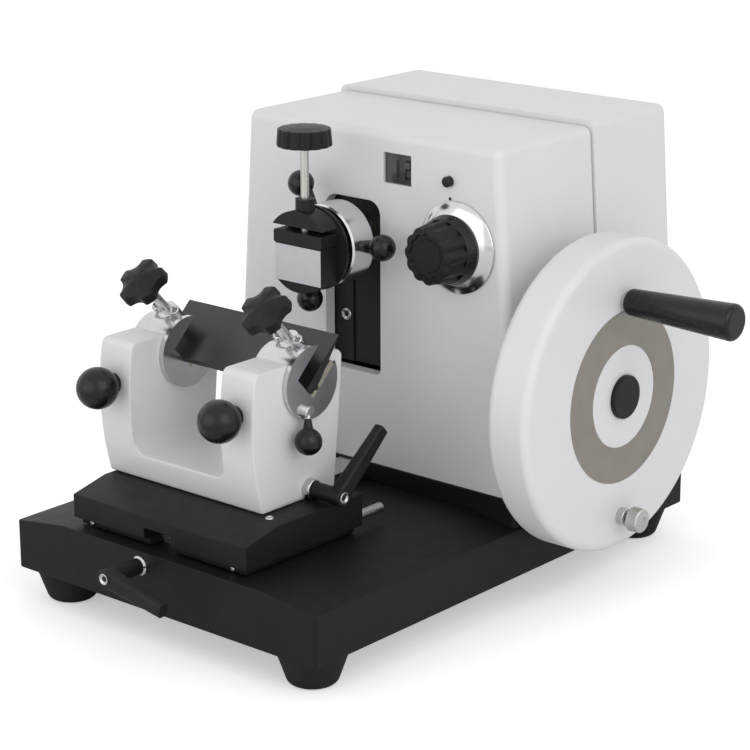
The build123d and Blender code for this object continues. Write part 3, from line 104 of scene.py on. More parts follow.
class Paint:  # a node tree under work
    def __init__(self, tree):
        self.tree = tree

    def node(self, kind, settings=None, inputs=None, pick=0):
        made = self.tree.nodes.new(kind)
        for key, value in (settings or {}).items():
            setattr(made, key, value)
        for key, value in (inputs or {}).items():
            if isinstance(value, Wire):
                self.tree.links.new(value.socket, made.inputs[key])
            else:
                made.inputs[key].default_value = value
        return Wire(self, made.outputs[pick])


class Finish(Paint):  # a material's tree with its shader; fixed holds the shader's constants
    def __init__(self, name, slot, fixed):
        self.material = bpy.data.materials.new(name)
        self.material.use_nodes = True
        super().__init__(self.material.node_tree)
        self.shader = self.tree.nodes["Principled BSDF"]
        self.slot = slot
        for socket, value in fixed.items():
            self.shader.inputs[socket].default_value = value
        self.place = self.node("ShaderNodeTexCoord", pick="Object")

    def give(self, socket, wire):
        self.tree.links.new(wire.socket, self.shader.inputs[socket])

    def noise(self, grain, detail=3, stretch=(1, 1, 1)):  # grain is one blotch's size in millimetres
        scale = [1 / (grain * part * mm) for part in stretch]
        where = self.node("ShaderNodeMapping", None, {"Vector": self.place, "Scale": scale})
        return self.node("ShaderNodeTexNoise", None, {"Vector": where, "Scale": 1, "Detail": detail})

    def rings(self, origin, axis, step):  # lathe marks round an axis, step in millimetres
        direction = Vector(axis).normalized()
        away = self.node("ShaderNodeVectorMath", {"operation": "SUBTRACT"}, {0: self.place, 1: origin})
        along = self.node("ShaderNodeVectorMath", {"operation": "PROJECT"}, {0: away, 1: direction})
        across = self.node("ShaderNodeVectorMath", {"operation": "SUBTRACT"}, {0: away, 1: along})
        reach = self.node("ShaderNodeVectorMath", {"operation": "LENGTH"}, {0: across}, "Value")
        sockets = {"W": reach * (1 / (step * mm)), "Scale": 1, "Detail": 2}
        return self.node("ShaderNodeTexNoise", {"noise_dimensions": "1D"}, sockets)

    def colours(self, factor, first, second):
        sockets = {0: factor, 6: (*first, 1), 7: (*second, 1)}
        self.give("Base Color", self.node("ShaderNodeMix", {"data_type": "RGBA"}, sockets, 2))

    def bump(self, height, depth, strength=0.5):  # depth in millimetres
        sockets = {"Height": height, "Distance": depth * mm, "Strength": strength}
        self.give("Normal", self.node("ShaderNodeBump", None, sockets))


def makeWhitePaint():
    look = {"low": (0.77, 0.77, 0.795), "high": (0.82, 0.82, 0.84), "patch": 38, "rough": 0.36,
            "spread": 0.14, "smear": 9, "peel": 1.6, "depth": 0.03}
    finish = Finish("whitePaint", "white_paint", {"Coat Weight": 0.18, "Coat Roughness": 0.22})
    finish.colours(finish.noise(look["patch"]), look["low"], look["high"])
    finish.give("Roughness", look["rough"] + finish.noise(look["smear"]) * look["spread"])
    finish.bump(finish.noise(look["peel"], 4), look["depth"], 0.4)
    return finish


def makeDark(name, slot, look, fixed):  # black paints, rubber and plastics differ only in their numbers
    finish = Finish(name, slot, fixed)
    finish.colours(finish.noise(look["patch"]), look["low"], look["high"])
    finish.give("Roughness", look["rough"] + finish.noise(look["patch"] / 3) * look["spread"])
    finish.bump(finish.noise(look["grain"], 4), look["depth"])
    return finish


def makeSteel(name, slot, look):  # metal with a drawn or mottled grain; on chrome the light and dark blotches in its colour are painted reflections
    finish = Finish(name, slot, {"Metallic": 1})
    streak = finish.noise(look["grain"], 4, look["stretch"])
    patch = finish.noise(look["patch"], 2)
    finish.colours(streak * 0.6 + patch * 0.4, look["low"], look["high"])
    finish.give("Roughness", look["rough"] + streak * look["spread"])
    finish.bump(streak, look["depth"])
    return finish


def makeTurned(name, slot, look, joint):  # metal with lathe marks round the axis of a joint
    finish = Finish(name, slot, {"Metallic": look["metal"]})
    marks = finish.rings(joints[joint]["pos_m"], joints[joint]["axis"], look["step"])
    patch = finish.noise(look["patch"], 2)
    finish.colours(marks * 0.5 + patch * 0.5, look["low"], look["high"])
    finish.give("Roughness", look["rough"] + marks * look["spread"])
    finish.bump(marks, look["depth"])
    return finish


whitePaint = makeWhitePaint()
blackPaint = makeDark("blackPaint", "black_base_paint", {
    "low": (0.004, 0.004, 0.0045), "high": (0.009, 0.009, 0.0095), "patch": 24, "rough": 0.42,
    "spread": 0.16, "grain": 0.7, "depth": 0.02}, {"Specular IOR Level": 0.24})
rubber = makeDark("rubber", "rubber", {
    "low": (0.008, 0.008, 0.008), "high": (0.016, 0.016, 0.016), "patch": 9, "rough": 0.7,
    "spread": 0.2, "grain": 0.5, "depth": 0.04}, {"Specular IOR Level": 0.3})
oxide = makeDark("blackOxide", "blackened_steel", {
    "low": (0.006, 0.006, 0.0065), "high": (0.014, 0.014, 0.0145), "patch": 7, "rough": 0.36,
    "spread": 0.2, "grain": 0.5, "depth": 0.015}, {"Specular IOR Level": 0.3})
glossPlastic = makeDark("glossPlastic", "black_plastic", {
    "low": (0.004, 0.004, 0.005), "high": (0.008, 0.008, 0.01), "patch": 12, "rough": 0.2,
    "spread": 0.14, "grain": 0.8, "depth": 0.01}, {"Specular IOR Level": 0.36})
satinPlastic = makeDark("satinPlastic", "black_plastic", {
    "low": (0.005, 0.005, 0.006), "high": (0.01, 0.01, 0.012), "patch": 9, "rough": 0.36,
    "spread": 0.16, "grain": 0.6, "depth": 0.015}, {"Specular IOR Level": 0.26})
greyInsert = makeDark("greyInsert", "grey_insert", {
    "low": (0.56, 0.56, 0.59), "high": (0.64, 0.64, 0.67), "patch": 8, "rough": 0.42,
    "spread": 0.12, "grain": 0.7, "depth": 0.01}, {})
display = makeDark("display", "window", {
    "low": (0.035, 0.043, 0.04), "high": (0.055, 0.065, 0.06), "patch": 14, "rough": 0.12,
    "spread": 0.06, "grain": 0.6, "depth": 0.002}, {"Coat Weight": 0.6, "Coat Roughness": 0.08})
displayInk = makeDark("displayInk", "window", {
    "low": (0.003, 0.006, 0.005), "high": (0.005, 0.008, 0.007), "patch": 5, "rough": 0.2,
    "spread": 0.06, "grain": 0.5, "depth": 0.002}, {})
steel = makeSteel("brightSteel", "machined_steel", {
    "low": (0.48, 0.47, 0.45), "high": (0.7, 0.69, 0.67), "grain": 0.5, "stretch": (6, 6, 1),
    "patch": 12, "rough": 0.2, "spread": 0.18, "depth": 0.01})
# chrome: its wide light-to-dark blotches are painted reflections, standing in for the reflections the plain
# white surroundings cannot give
chrome = makeSteel("chromePaintedReflection", "chrome", {
    "low": (0.34, 0.34, 0.36), "high": (0.78, 0.78, 0.8), "grain": 1.4, "stretch": (1, 1, 1),
    "patch": 9, "rough": 0.1, "spread": 0.18, "depth": 0.03})
knifeSteel = makeSteel("knifeSteel", "knife_steel", {
    "low": (0.05, 0.05, 0.05), "high": (0.1, 0.1, 0.1), "grain": 0.4, "stretch": (1, 9, 9),
    "patch": 40, "rough": 0.3, "spread": 0.16, "depth": 0.005})
brass = makeSteel("restBrass", "rest_brass", {
    "low": (0.5, 0.47, 0.36), "high": (0.74, 0.71, 0.58), "grain": 0.6, "stretch": (1, 3, 3),
    "patch": 6, "rough": 0.3, "spread": 0.2, "depth": 0.02})
bronze = makeSteel("bronze", "bronze", {
    "low": (0.42, 0.27, 0.13), "high": (0.56, 0.37, 0.19), "grain": 0.6, "stretch": (1, 1, 1),
    "patch": 8, "rough": 0.3, "spread": 0.15, "depth": 0.02})
wheelSteel = makeTurned("wheelSteel", "machined_steel", {
    "metal": 0.85, "low": (0.25, 0.235, 0.205), "high": (0.4, 0.375, 0.335), "step": 0.35,
    "patch": 16, "rough": 0.34, "spread": 0.16, "depth": 0.01}, "wheel_turn")
headChrome = makeTurned("headChrome", "chrome", {
    "metal": 1, "low": (0.6, 0.6, 0.61), "high": (0.86, 0.86, 0.87), "step": 0.4,
    "patch": 18, "rough": 0.14, "spread": 0.14, "depth": 0.008}, "head_rotate")
dialChrome = makeTurned("dialChrome", "chrome", {
    "metal": 1, "low": (0.55, 0.55, 0.57), "high": (0.78, 0.78, 0.8), "step": 0.4,
    "patch": 14, "rough": 0.1, "spread": 0.12, "depth": 0.006}, "dial_turn")
drumFace = makeTurned("drumFace", "chrome", {
    "metal": 1, "low": (0.5, 0.5, 0.52), "high": (0.78, 0.78, 0.8), "step": 0.5,
    "patch": 11, "rough": 0.12, "spread": 0.14, "depth": 0.008}, "knife_tilt")

cadFinishes = [  # which CAD pieces keep their shape, by finish
    (whitePaint, "front_housing rear_cover handwheel"),
    (rubber, "rubber_feet"),
    (blackPaint, "column_bridge"),
    (oxide, "clamp_body vertical_slide slide_strip clamp_jaw"),
    (glossPlastic, "hand_grip reset_button"),
    (satinPlastic, "hub_cap front_lever side_lever counter_module"),
    (display, "counter_window"),
    (wheelSteel, "wheel_ring"),
    (headChrome, "orientation_head"),
    (chrome, "front_lever_collar"),
    (drumFace, "left_drum right_drum"),
    (brass, "knife_rests"),
    (knifeSteel, "knife"),
    (bronze, "shaft_bearings ratchet_wheel"),
    (steel, "rear_cover_screws carriage_way guide_columns main_shaft crank_disc grip_spindle feed_screw"),
    (steel, "feed_pawl feed_arm swing_ring tilt_core clamp_screw dial_cam carriage_rod gib_screws"),
    (steel, "shaft_bracket"),
]
for finish, names in cadFinishes:
    for name in names.split():
        nodes[name].data.materials.clear()
        nodes[name].data.materials.append(finish.material)
print("finishes made")


def corners(name):  # lowest corner, highest corner and middle of a CAD piece, millimetres
    low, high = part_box(name)
    return low / mm, high / mm, (low + high) / (2 * mm)


def hinge(name):  # where a joint sits, millimetres, and which way it points
    joint = joints[name]
    return Vector(joint["pos_m"]) / mm, Vector(joint["axis"]).normalized()


def show(name, mesh):
    obj = bpy.data.objects.new(name, mesh)
    scene.collection.objects.link(obj)
    return obj


def settle(name, bm, finish, body, replaced=(), crease=38):  # a mesh in millimetres becomes a piece on a body
    bmesh.ops.remove_doubles(bm, verts=bm.verts, dist=0.0005)
    bmesh.ops.recalc_face_normals(bm, faces=bm.faces)
    for face in bm.faces:
        face.smooth = True
    for edge in bm.edges:
        edge.smooth = edge.is_manifold and edge.calc_face_angle(0) < math.radians(crease)
    bmesh.ops.scale(bm, vec=(mm, mm, mm), verts=bm.verts)
    mesh = bpy.data.meshes.new(name)
    bm.to_mesh(mesh)
    bm.free()
    mesh.materials.append(finish.material)
    obj = show(name, mesh)
    even = obj.modifiers.new("evenShading", "WEIGHTED_NORMAL")
    even.keep_sharp = True
    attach(obj, body)
    if replaced:
        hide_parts(*replaced)


def roundCorners(points, steps=5):  # a point may carry a third number, its radius
    path = []
    for spot, (x, y, *more) in enumerate(points):
        here = Vector((x, y))
        if not more:
            path.append(here)
            continue
        before = (Vector(points[spot - 1][:2]) - here).normalized()
        after = (Vector(points[spot + 1][:2]) - here).normalized()
        half = before.angle(after) / 2
        middle = here + (before + after).normalized() * (more[0] / math.sin(half))
        first = here + before * (more[0] / math.tan(half)) - middle
        last = here + after * (more[0] / math.tan(half)) - middle
        for step in range(steps + 1):
            path.append(middle + first.slerp(last, step / steps))
    return path


def lathe(bm, profile, origin, axis, sides, swell):
    # profile is (distance along the axis, radius); swell says how far a radius reaches at each angle
    axis = Vector(axis).normalized()
    across = axis.orthogonal().normalized()
    side = axis.cross(across)
    rings = []
    for distance, radius in profile:
        centre = Vector(origin) + axis * distance
        ring = []
        for step in range(sides if radius > 0.001 else 1):
            angle = math.tau * step / sides
            reach = radius * (swell(angle) if swell else 1)
            outward = across * math.cos(angle) + side * math.sin(angle)
            ring.append(bm.verts.new(centre + outward * reach))
        rings.append(ring)
    for lower, upper in zip(rings, rings[1:]):
        for step in range(sides):
            loop = [lower[step % len(lower)], lower[(step + 1) % len(lower)],
                    upper[(step + 1) % len(upper)], upper[step % len(upper)]]
            loop = [vert for spot, vert in enumerate(loop) if vert not in loop[:spot]]
            if len(loop) > 2:
                bm.faces.new(loop)
    return bm


def turned(name, profile, origin, axis, finish, body, replaced=(), sides=72, swell=None, crease=38):
    bm = lathe(bmesh.new(), roundCorners(profile), origin, axis, sides, swell)
    settle(name, bm, finish, body, replaced, crease)


def join(bm, near, far):  # two like loops of points become a closed solid
    near = [bm.verts.new(point) for point in near]
    far = [bm.verts.new(point) for point in far]
    bm.faces.new(near)
    bm.faces.new(far[::-1])
    for spot in range(len(near)):
        bm.faces.new([near[spot - 1], near[spot], far[spot], far[spot - 1]])
    return bm


def plate(bm, middle, halfWide, halfTall, front, back):  # a flat block that faces the front
    signs = ((-1, -1), (1, -1), (1, 1), (-1, 1))
    outline = [(middle.x + halfWide * wide, middle.z + halfTall * tall) for wide, tall in signs]
    return join(bm, [Vector((x, front, z)) for x, z in outline], [Vector((x, back, z)) for x, z in outline])


def softened(name, node, finish, width, sharp=40):  # a CAD piece with its hard edges broken
    bm = bmesh.new()
    bm.from_mesh(nodes[node].data)
    bmesh.ops.scale(bm, vec=(1 / mm, 1 / mm, 1 / mm), verts=bm.verts)
    bmesh.ops.remove_doubles(bm, verts=bm.verts, dist=0.005)
    bmesh.ops.dissolve_limit(bm, angle_limit=math.radians(0.2), verts=bm.verts, edges=bm.edges)
    limit = math.radians(sharp)
    hard = [edge for edge in bm.edges if edge.is_manifold and edge.calc_face_angle(0) > limit]
    bmesh.ops.bevel(bm, geom=hard, offset=width, segments=2, profile=0.5, affect="EDGES")
    settle(name, bm, finish, nodes[node]["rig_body"], [node])


def ballProfile(radius, orbit, neck, start, waist, steps=18):  # a ball on a neck that flares towards it
    half = math.asin(waist / radius)
    ball = []
    for step in range(steps):
        angle = math.pi - half - (math.pi - half) * step / steps
        ball.append((orbit + radius * math.cos(angle), radius * math.sin(angle)))
    return [(start, 0), (start, neck), *ball, (orbit + radius, 0)]


# Castings with broken edges
castings = {"base_slab": (blackPaint, 0.8), "plinth": (blackPaint, 0.7), "carriage_plate": (blackPaint, 0.7),
            "carriage_slide": (blackPaint, 0.4), "knife_block": (whitePaint, 1.6)}
for node, (finish, width) in castings.items():
    softened(node + "_cast", node, finish, width)
print("castings softened")

# Handwheel: lock plunger, a pin with a knurled cup that slides over its sleeve
plunger = {"cup": 7.5, "cupInside": 5.46, "cupLong": 8, "cupDeep": 5, "bevel": 0.6, "round": 1.2, "pin": 3,
           "knurls": 36, "knurlDepth": 0.035, "screw": 2.6, "screwDeep": 0.6, "hole": 3.05, "sleeve": 5,
           "sleeveRound": 0.5}


def knurl(angle):
    return 1 + plunger["knurlDepth"] * (abs(math.sin(angle * plunger["knurls"] / 2)) - 1)


low, high, middle = corners("lock_plunger")
plungerOrigin = (0, middle.y, middle.z)
mouth = high.x - plunger["cupLong"]
cupFloor = mouth + plunger["cupDeep"]
screwFloor = high.x - plunger["screwDeep"]
turned("lock_plunger_head", [
    (low.x, 0), (low.x, plunger["pin"]), (cupFloor, plunger["pin"]), (cupFloor, plunger["cupInside"]),
    (mouth, plunger["cupInside"]), (mouth, plunger["cup"] - plunger["bevel"]),
    (mouth + plunger["bevel"], plunger["cup"]), (high.x, plunger["cup"], plunger["round"]),
    (high.x, plunger["screw"]), (screwFloor, plunger["screw"]), (screwFloor, 0)],
    plungerOrigin, (1, 0, 0), steel, "plunger", ["lock_plunger"], 144, knurl)
low, high, middle = corners("plunger_sleeve")
turned("plunger_sleeve_dome", [
    (low.x, plunger["hole"]), (low.x, plunger["sleeve"]), (high.x, plunger["sleeve"], plunger["sleeveRound"]),
    (high.x, plunger["hole"]), (low.x, plunger["hole"])],
    plungerOrigin, (1, 0, 0), chrome, "wheel", ["plunger_sleeve"])
print("plunger made")

# Specimen clamp: fluted knob with a raised disc on top and a hollow underside
clampKnob = {"flutes": 14, "fluteDepth": 0.055, "swell": 0.24, "rim": 1.2, "lip": 0.5, "crown": 0.9,
             "raised": 9, "raisedEdge": 1.2, "raisedHeight": 0.25, "boss": 5, "bossTop": 6, "hollow": 2,
             "wall": 2, "foot": 1.4}


def flutes(angle):
    return 1 - clampKnob["fluteDepth"] * max(0, math.cos(angle * clampKnob["flutes"])) ** 3


low, high, middle = corners("clamp_knob")
knobRadius = (high.x - low.x) / 2 + clampKnob["swell"]
turned("clamp_knob_fluted", [
    (low.z, 0), (low.z, clampKnob["boss"]), (low.z + clampKnob["hollow"], clampKnob["bossTop"]),
    (low.z + clampKnob["hollow"], knobRadius - clampKnob["wall"]), (low.z, knobRadius - clampKnob["foot"]),
    (low.z, knobRadius, clampKnob["lip"]), (high.z - clampKnob["crown"], knobRadius, clampKnob["rim"]),
    (high.z - clampKnob["raisedHeight"], clampKnob["raised"]),
    (high.z, clampKnob["raised"] - clampKnob["raisedEdge"]), (high.z, 0)],
    (middle.x, middle.y, 0), (0, 0, 1), satinPlastic, "jaw_screw", ["clamp_knob"], 168, flutes)

# Insert between the jaws: dark block with a light face
insert = {"face": 0.5, "border": 0.35, "lap": 0.05}
low, high, middle = corners("clamp_insert")
halfWide = (high.x - low.x) / 2
halfTall = (high.z - low.z) / 2
border = insert["border"]
blockFront = low.y + insert["face"]
faceBack = blockFront + insert["lap"]
bm = plate(bmesh.new(), middle, halfWide, halfTall, blockFront, high.y)
settle("clamp_insert_block", bm, oxide, "clamp", ["clamp_insert"])
bm = plate(bmesh.new(), middle, halfWide - border, halfTall - border, low.y, faceBack)
settle("clamp_insert_face", bm, greyInsert, "clamp")
print("clamp made")

# Ball knobs that lock the head
headBall = {"radius": 8, "orbit": 16, "neck": 3.4, "start": 0.35, "waist": 4.6}
for place in ("right", "upper", "lower"):
    node = f"head_lock_knob_{place}"
    origin, axis = hinge(f"head_lock_{place}_turn")
    profile = ballProfile(headBall["radius"], headBall["orbit"], headBall["neck"], headBall["start"],
                          headBall["waist"])
    turned(node + "_ball", profile, origin, axis, glossPlastic, nodes[node]["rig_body"], [node])

# Ball knobs that lock the drums
lockBall = {"radius": 12.5, "neck": 4, "waist": 6.2}
for side in ("left", "right"):
    node = f"{side}_lock_knob"
    origin, axis = hinge(f"{side}_lock_turn")
    low, high, middle = corners(node)
    studEnd = low.y - high.y + lockBall["radius"]
    profile = ballProfile(lockBall["radius"], 0, lockBall["neck"], studEnd, lockBall["waist"])
    turned(node + "_ball", profile, origin, -axis, glossPlastic, f"{side}_lock", [node])

# Small ball lever under the right drum disc, its pin in a round foot
tiltBall = {"radius": 8, "neck": 2, "neckStart": 4, "waist": 3, "pin": 1.8, "pinShort": 6, "rootShare": 0.515,
            "rootOut": 2.5, "foot": 3.5, "footLong": 4.5, "footRound": 0.8}
low, high, middle = corners("tilt_lever")
radius = tiltBall["radius"]
ballCentre = Vector((high.x - radius, low.y + radius, low.z + radius))
stemRoot = hinge("knife_tilt")[0].lerp(ballCentre, tiltBall["rootShare"])
stemRoot.x = low.x + tiltBall["rootOut"]
stem = ballCentre - stemRoot
pinEnd = stem.length - tiltBall["pinShort"]
profile = ballProfile(radius, stem.length, tiltBall["neck"], tiltBall["neckStart"], tiltBall["waist"])
turned("tilt_lever_ball", profile, stemRoot, stem, glossPlastic, "cradle", ["tilt_lever"])
turned("tilt_lever_pin", [(0, 0), (0, tiltBall["pin"]), (pinEnd, tiltBall["pin"]), (pinEnd, 0)],
       stemRoot, stem, steel, "cradle")
turned("tilt_lever_foot", [
    (0, 0), (0, tiltBall["foot"]), (tiltBall["footLong"], tiltBall["foot"], tiltBall["footRound"]),
    (tiltBall["footLong"], 0)], (low.x, stemRoot.y, stemRoot.z), (1, 0, 0), steel, "cradle")
print("ball knobs made")

# Five-lobed clamp knobs on their screws
star = {"peak": 16, "lobes": 5, "scoop": 8, "scoopAt": 20.5, "easing": 20, "turned": 0.35, "height": 12,
        "hub": 5.5, "under": 0.6, "underRise": 1, "edgeRise": 1.4, "lowRound": 1.6, "edgeDrop": 2.6,
        "topRound": 1.8, "dome": 0.62, "domeDrop": 0.7, "domeRound": 1.5, "cap": 0.25, "screw": 3}


def lobes(angle):  # a disc with round scoops cut into its edge, the corners eased
    pitch = math.tau / star["lobes"]
    swing = (angle + star["turned"]) % pitch - pitch / 2
    beside = star["scoop"] ** 2 - (star["scoopAt"] * math.sin(swing)) ** 2
    inner = star["scoopAt"] * math.cos(swing) - math.sqrt(beside) if beside > 0 else star["scoopAt"]
    power = -star["easing"]
    return (star["peak"] ** power + inner ** power) ** (1 / power) / star["peak"]


# Two set screws beside each clamp screw
setScrew = {"radius": 2.7, "from": 14, "height": 6, "round": 0.4, "socket": 1.4, "deep": 2, "socketFoot": 1.3,
            "beside": {"in": -7.5, "out": 7.5}}
setTop = setScrew["from"] + setScrew["height"]
setFloor = setTop - setScrew["deep"]
for side in ("left", "right"):
    node = f"{side}_star_knob"
    origin, axis = hinge(f"{side}_star_turn")
    heights = [(Vector(vert.co) / mm - origin).dot(axis) for vert in nodes[node].data.vertices]
    foot = min(heights)
    top = max(heights)
    low = top - star["height"]
    peak = star["peak"]
    under = low + star["underRise"]
    turned(node + "_lobed", [
        (low, 0), (low, star["hub"]), (under, peak * star["under"]),
        (low + star["edgeRise"], peak, star["lowRound"]), (top - star["edgeDrop"], peak, star["topRound"]),
        (top - star["domeDrop"], peak * star["dome"], star["domeRound"]),
        (top, peak * star["cap"]), (top, 0)],
        origin, axis, satinPlastic, f"{side}_star", [node], 180, lobes, 50)
    turned(node + "_screw", [(foot, 0), (foot, star["screw"]), (under, star["screw"]), (under, 0)],
           origin, axis, steel, f"{side}_star", (), 48)
    for place, offset in setScrew["beside"].items():
        turned(f"{side}_set_screw_{place}", [
            (setScrew["from"], 0), (setScrew["from"], setScrew["radius"]),
            (setTop, setScrew["radius"], setScrew["round"]), (setTop, setScrew["socket"]),
            (setFloor, setScrew["socketFoot"]), (setFloor, 0)],
            origin + Vector((offset, 0, 0)), axis, chrome, "cradle", (), 36)
print("clamp knobs made")

# Thickness dial: chrome cone with ticks and plain numbers
scale = {"ticks": 50, "numbersEvery": 5, "inner": 20.8, "edge": 0.8, "edgeRound": 0.3, "tickWidth": 0.3,
         "tickStart": 0.6, "tickEnd": 1.8, "longEnd": 2.8, "numberAt": 3.4, "textSize": 2.5, "textThick": 0.1,
         "proud": 0.06, "sunk": 0.18}
low, high, middle = corners("dial_scale_ring")
dialOrigin = Vector((middle.x, 0, middle.z))
ringRadius = (high.x - low.x) / 2
edgeY = high.y - scale["edge"]
turned("dial_scale_ring_turned", [(high.y, 0), (high.y, ringRadius), (edgeY, ringRadius, scale["edgeRound"]),
                                  (low.y, scale["inner"]), (low.y, 0)],
       dialOrigin, (0, 1, 0), dialChrome, "dial", ["dial_scale_ring"], 120)


def addNumber(bm, number, across, rise, out, place):  # reads outward from the middle of the dial
    text = bpy.data.curves.new("dialNumber", "FONT")
    text.body = str(number)
    text.size = scale["textSize"]
    text.align_x = "RIGHT"
    text.align_y = "CENTER"
    text.extrude = scale["textThick"]
    lettering = bpy.data.objects.new("dialNumber", text)
    mesh = bpy.data.meshes.new_from_object(lettering)
    turn = Matrix((across, rise, out)).transposed().to_4x4()
    turn.translation = place
    mesh.transform(turn)
    bm.from_mesh(mesh)
    bpy.data.objects.remove(lettering)


bm = bmesh.new()
for tick in range(scale["ticks"]):
    angle = math.tau * tick / scale["ticks"]
    outward = Vector((math.cos(angle), 0, math.sin(angle)))
    along = Vector((-math.sin(angle), 0, math.cos(angle)))
    top = dialOrigin + outward * ringRadius + Vector((0, edgeY, 0))
    slope = (outward * (scale["inner"] - ringRadius) + Vector((0, low.y - edgeY, 0))).normalized()
    out = along.cross(slope).normalized()
    numbered = tick % scale["numbersEvery"] == 0
    near = top + slope * scale["tickStart"]
    far = top + slope * (scale["longEnd"] if numbered else scale["tickEnd"])
    half = along * scale["tickWidth"] / 2
    quad = [near - half, near + half, far + half, far - half]
    above = [point + out * scale["proud"] for point in quad]
    below = [point - out * scale["sunk"] for point in quad]
    join(bm, above, below)
    if numbered:
        addNumber(bm, tick, -slope, along, out, top + slope * scale["numberAt"])
settle("dial_marks", bm, displayInk, "dial")

# Dial knob: smooth skirt behind a scalloped cap with a sunk face
dialKnob = {"skirt": 20.4, "skirtEdge": 1.2, "skirtRound": 0.5, "skirtLong": 7, "skirtTop": 19.2,
            "topRound": 1, "neck": 18.4, "neckLong": 0.6, "cap": 18.5, "capEdge": 0.6, "capFront": 18,
            "capRound": 1.6, "face": 13.6, "faceSlope": 0.6, "sunk": 1.2, "button": 10.2,
            "buttonHeight": 0.5, "buttonSlope": 0.3, "scallops": 12, "scallopDepth": 0.075}


def scallops(angle):
    wave = 0.5 + 0.5 * math.cos(angle * dialKnob["scallops"])
    return 1 - dialKnob["scallopDepth"] * wave ** 1.6


low, high, middle = corners("dial_knob")
skirtBack = -high.y
capBack = skirtBack + dialKnob["skirtLong"]
capFace = -low.y
sunkFace = capFace - dialKnob["sunk"]
buttonFace = sunkFace + dialKnob["buttonHeight"]
turned("dial_knob_scalloped", [
    (skirtBack, 0), (skirtBack, dialKnob["skirt"]),
    (skirtBack + dialKnob["skirtEdge"], dialKnob["skirt"], dialKnob["skirtRound"]),
    (capBack, dialKnob["skirtTop"], dialKnob["topRound"]),
    (capBack + dialKnob["neckLong"], dialKnob["neck"])],
    dialOrigin, (0, -1, 0), glossPlastic, "dial", (), 96)
turned("dial_knob_cap", [
    (capBack, 0), (capBack, dialKnob["cap"], dialKnob["capEdge"]),
    (capFace, dialKnob["capFront"], dialKnob["capRound"]), (capFace, dialKnob["face"]),
    (sunkFace, dialKnob["face"] - dialKnob["faceSlope"]), (sunkFace, dialKnob["button"]),
    (buttonFace, dialKnob["button"] - dialKnob["buttonSlope"]), (buttonFace, 0)],
    dialOrigin, (0, -1, 0), satinPlastic, "dial", ["dial_knob"], 192, scallops)

# Index dot on the housing above the dial
dot = {"radius": 1, "height": 0.25, "edge": 0.1, "left": 5.9, "out": 0.3, "above": 1.2}
low, high, middle = corners("dial_scale_ring")
dotFoot = (middle.x - dot["left"], high.y + dot["out"], high.z + dot["above"])
turned("dial_index_dot", [(0, 0), (0, dot["radius"]), (dot["height"], dot["radius"] - dot["edge"]),
                          (dot["height"], 0)], dotFoot, (0, -1, 0), oxide, "base", (), 24)
print("dial made")

# Counter: two seven-stroke digits on the window's face
digits = {"height": 10.4, "width": 3.8, "stroke": 1.7, "thick": 0.06, "sunk": 0.02,
          "places": (("bc", -2.8), ("abged", 7))}
low, high, middle = corners("counter_window")
wide = digits["width"] / 2
tall = digits["height"] / 2
thin = digits["stroke"] / 2
bars = {"a": (0, tall, wide, thin), "g": (0, 0, wide, thin), "d": (0, -tall, wide, thin),
        "b": (wide, tall / 2, thin, tall / 2), "c": (wide, -tall / 2, thin, tall / 2),
        "e": (-wide, -tall / 2, thin, tall / 2)}
bm = bmesh.new()
for strokes, place in digits["places"]:
    for stroke in strokes:
        across, rise, halfWide, halfTall = bars[stroke]
        centre = middle + Vector((place + across, 0, rise))
        plate(bm, centre, halfWide, halfTall, low.y - digits["thick"], low.y + digits["sunk"])
settle("counter_digits", bm, displayInk, "base")

# Socket screws in the lever hubs, the strip and the carriage plate, and the side lever's chrome collar
screw = {"radius": 3.2, "small": 1.9, "round": 0.3, "length": 1, "deep": 1.4, "socket": 0.52,
         "socketFoot": 0.94, "frontSunk": 0.7, "sideSunk": 0.5, "stripProud": 0.03, "stripUp": 29,
         "stripRight": 1.5, "plateRight": 5.4, "plateBack": 7, "plateDrop": 0.19}
collar = {"from": 0.4, "to": 4.6, "inside": 3.2, "radius": 5.7, "round": 0.5, "outerInside": 4.95}


def socketScrew(name, origin, axis, radius, body):
    inner = radius * screw["socket"]
    turned(name, [
        (-screw["length"], 0), (-screw["length"], radius), (0, radius, screw["round"]), (0, inner),
        (-screw["deep"], inner * screw["socketFoot"]), (-screw["deep"], 0)],
        origin, axis, steel, body, (), 48)


origin, axis = hinge("base_lever_turn")
low, high, middle = corners("front_lever")
socketScrew("front_lever_screw", (origin.x, low.y + screw["frontSunk"], origin.z), (0, -1, 0),
            screw["radius"], "base_lever")
origin, axis = hinge("block_lever_turn")
low, high, middle = corners("side_lever")
socketScrew("side_lever_screw", (high.x - screw["sideSunk"], origin.y, origin.z), (1, 0, 0),
            screw["radius"], "block_lever")
turned("side_lever_collar", [
    (collar["from"], collar["inside"]), (collar["from"], collar["radius"], collar["round"]),
    (collar["to"], collar["radius"], collar["round"]), (collar["to"], collar["outerInside"]),
    (collar["from"], collar["inside"])], origin, (1, 0, 0), chrome, "block_lever")
low, high, middle = corners("slide_strip")
head = (middle.x + screw["stripRight"], low.y - screw["stripProud"], low.z + screw["stripUp"])
socketScrew("slide_strip_screw", head, (0, -1, 0), screw["radius"], "casting")
low, high, middle = corners("knife_block")
head = (high.x + screw["plateRight"], low.y + screw["plateBack"], low.z - screw["plateDrop"])
socketScrew("block_foot_screw", head, (0, 0, 1), screw["small"], "carriage")
print("small screws made")

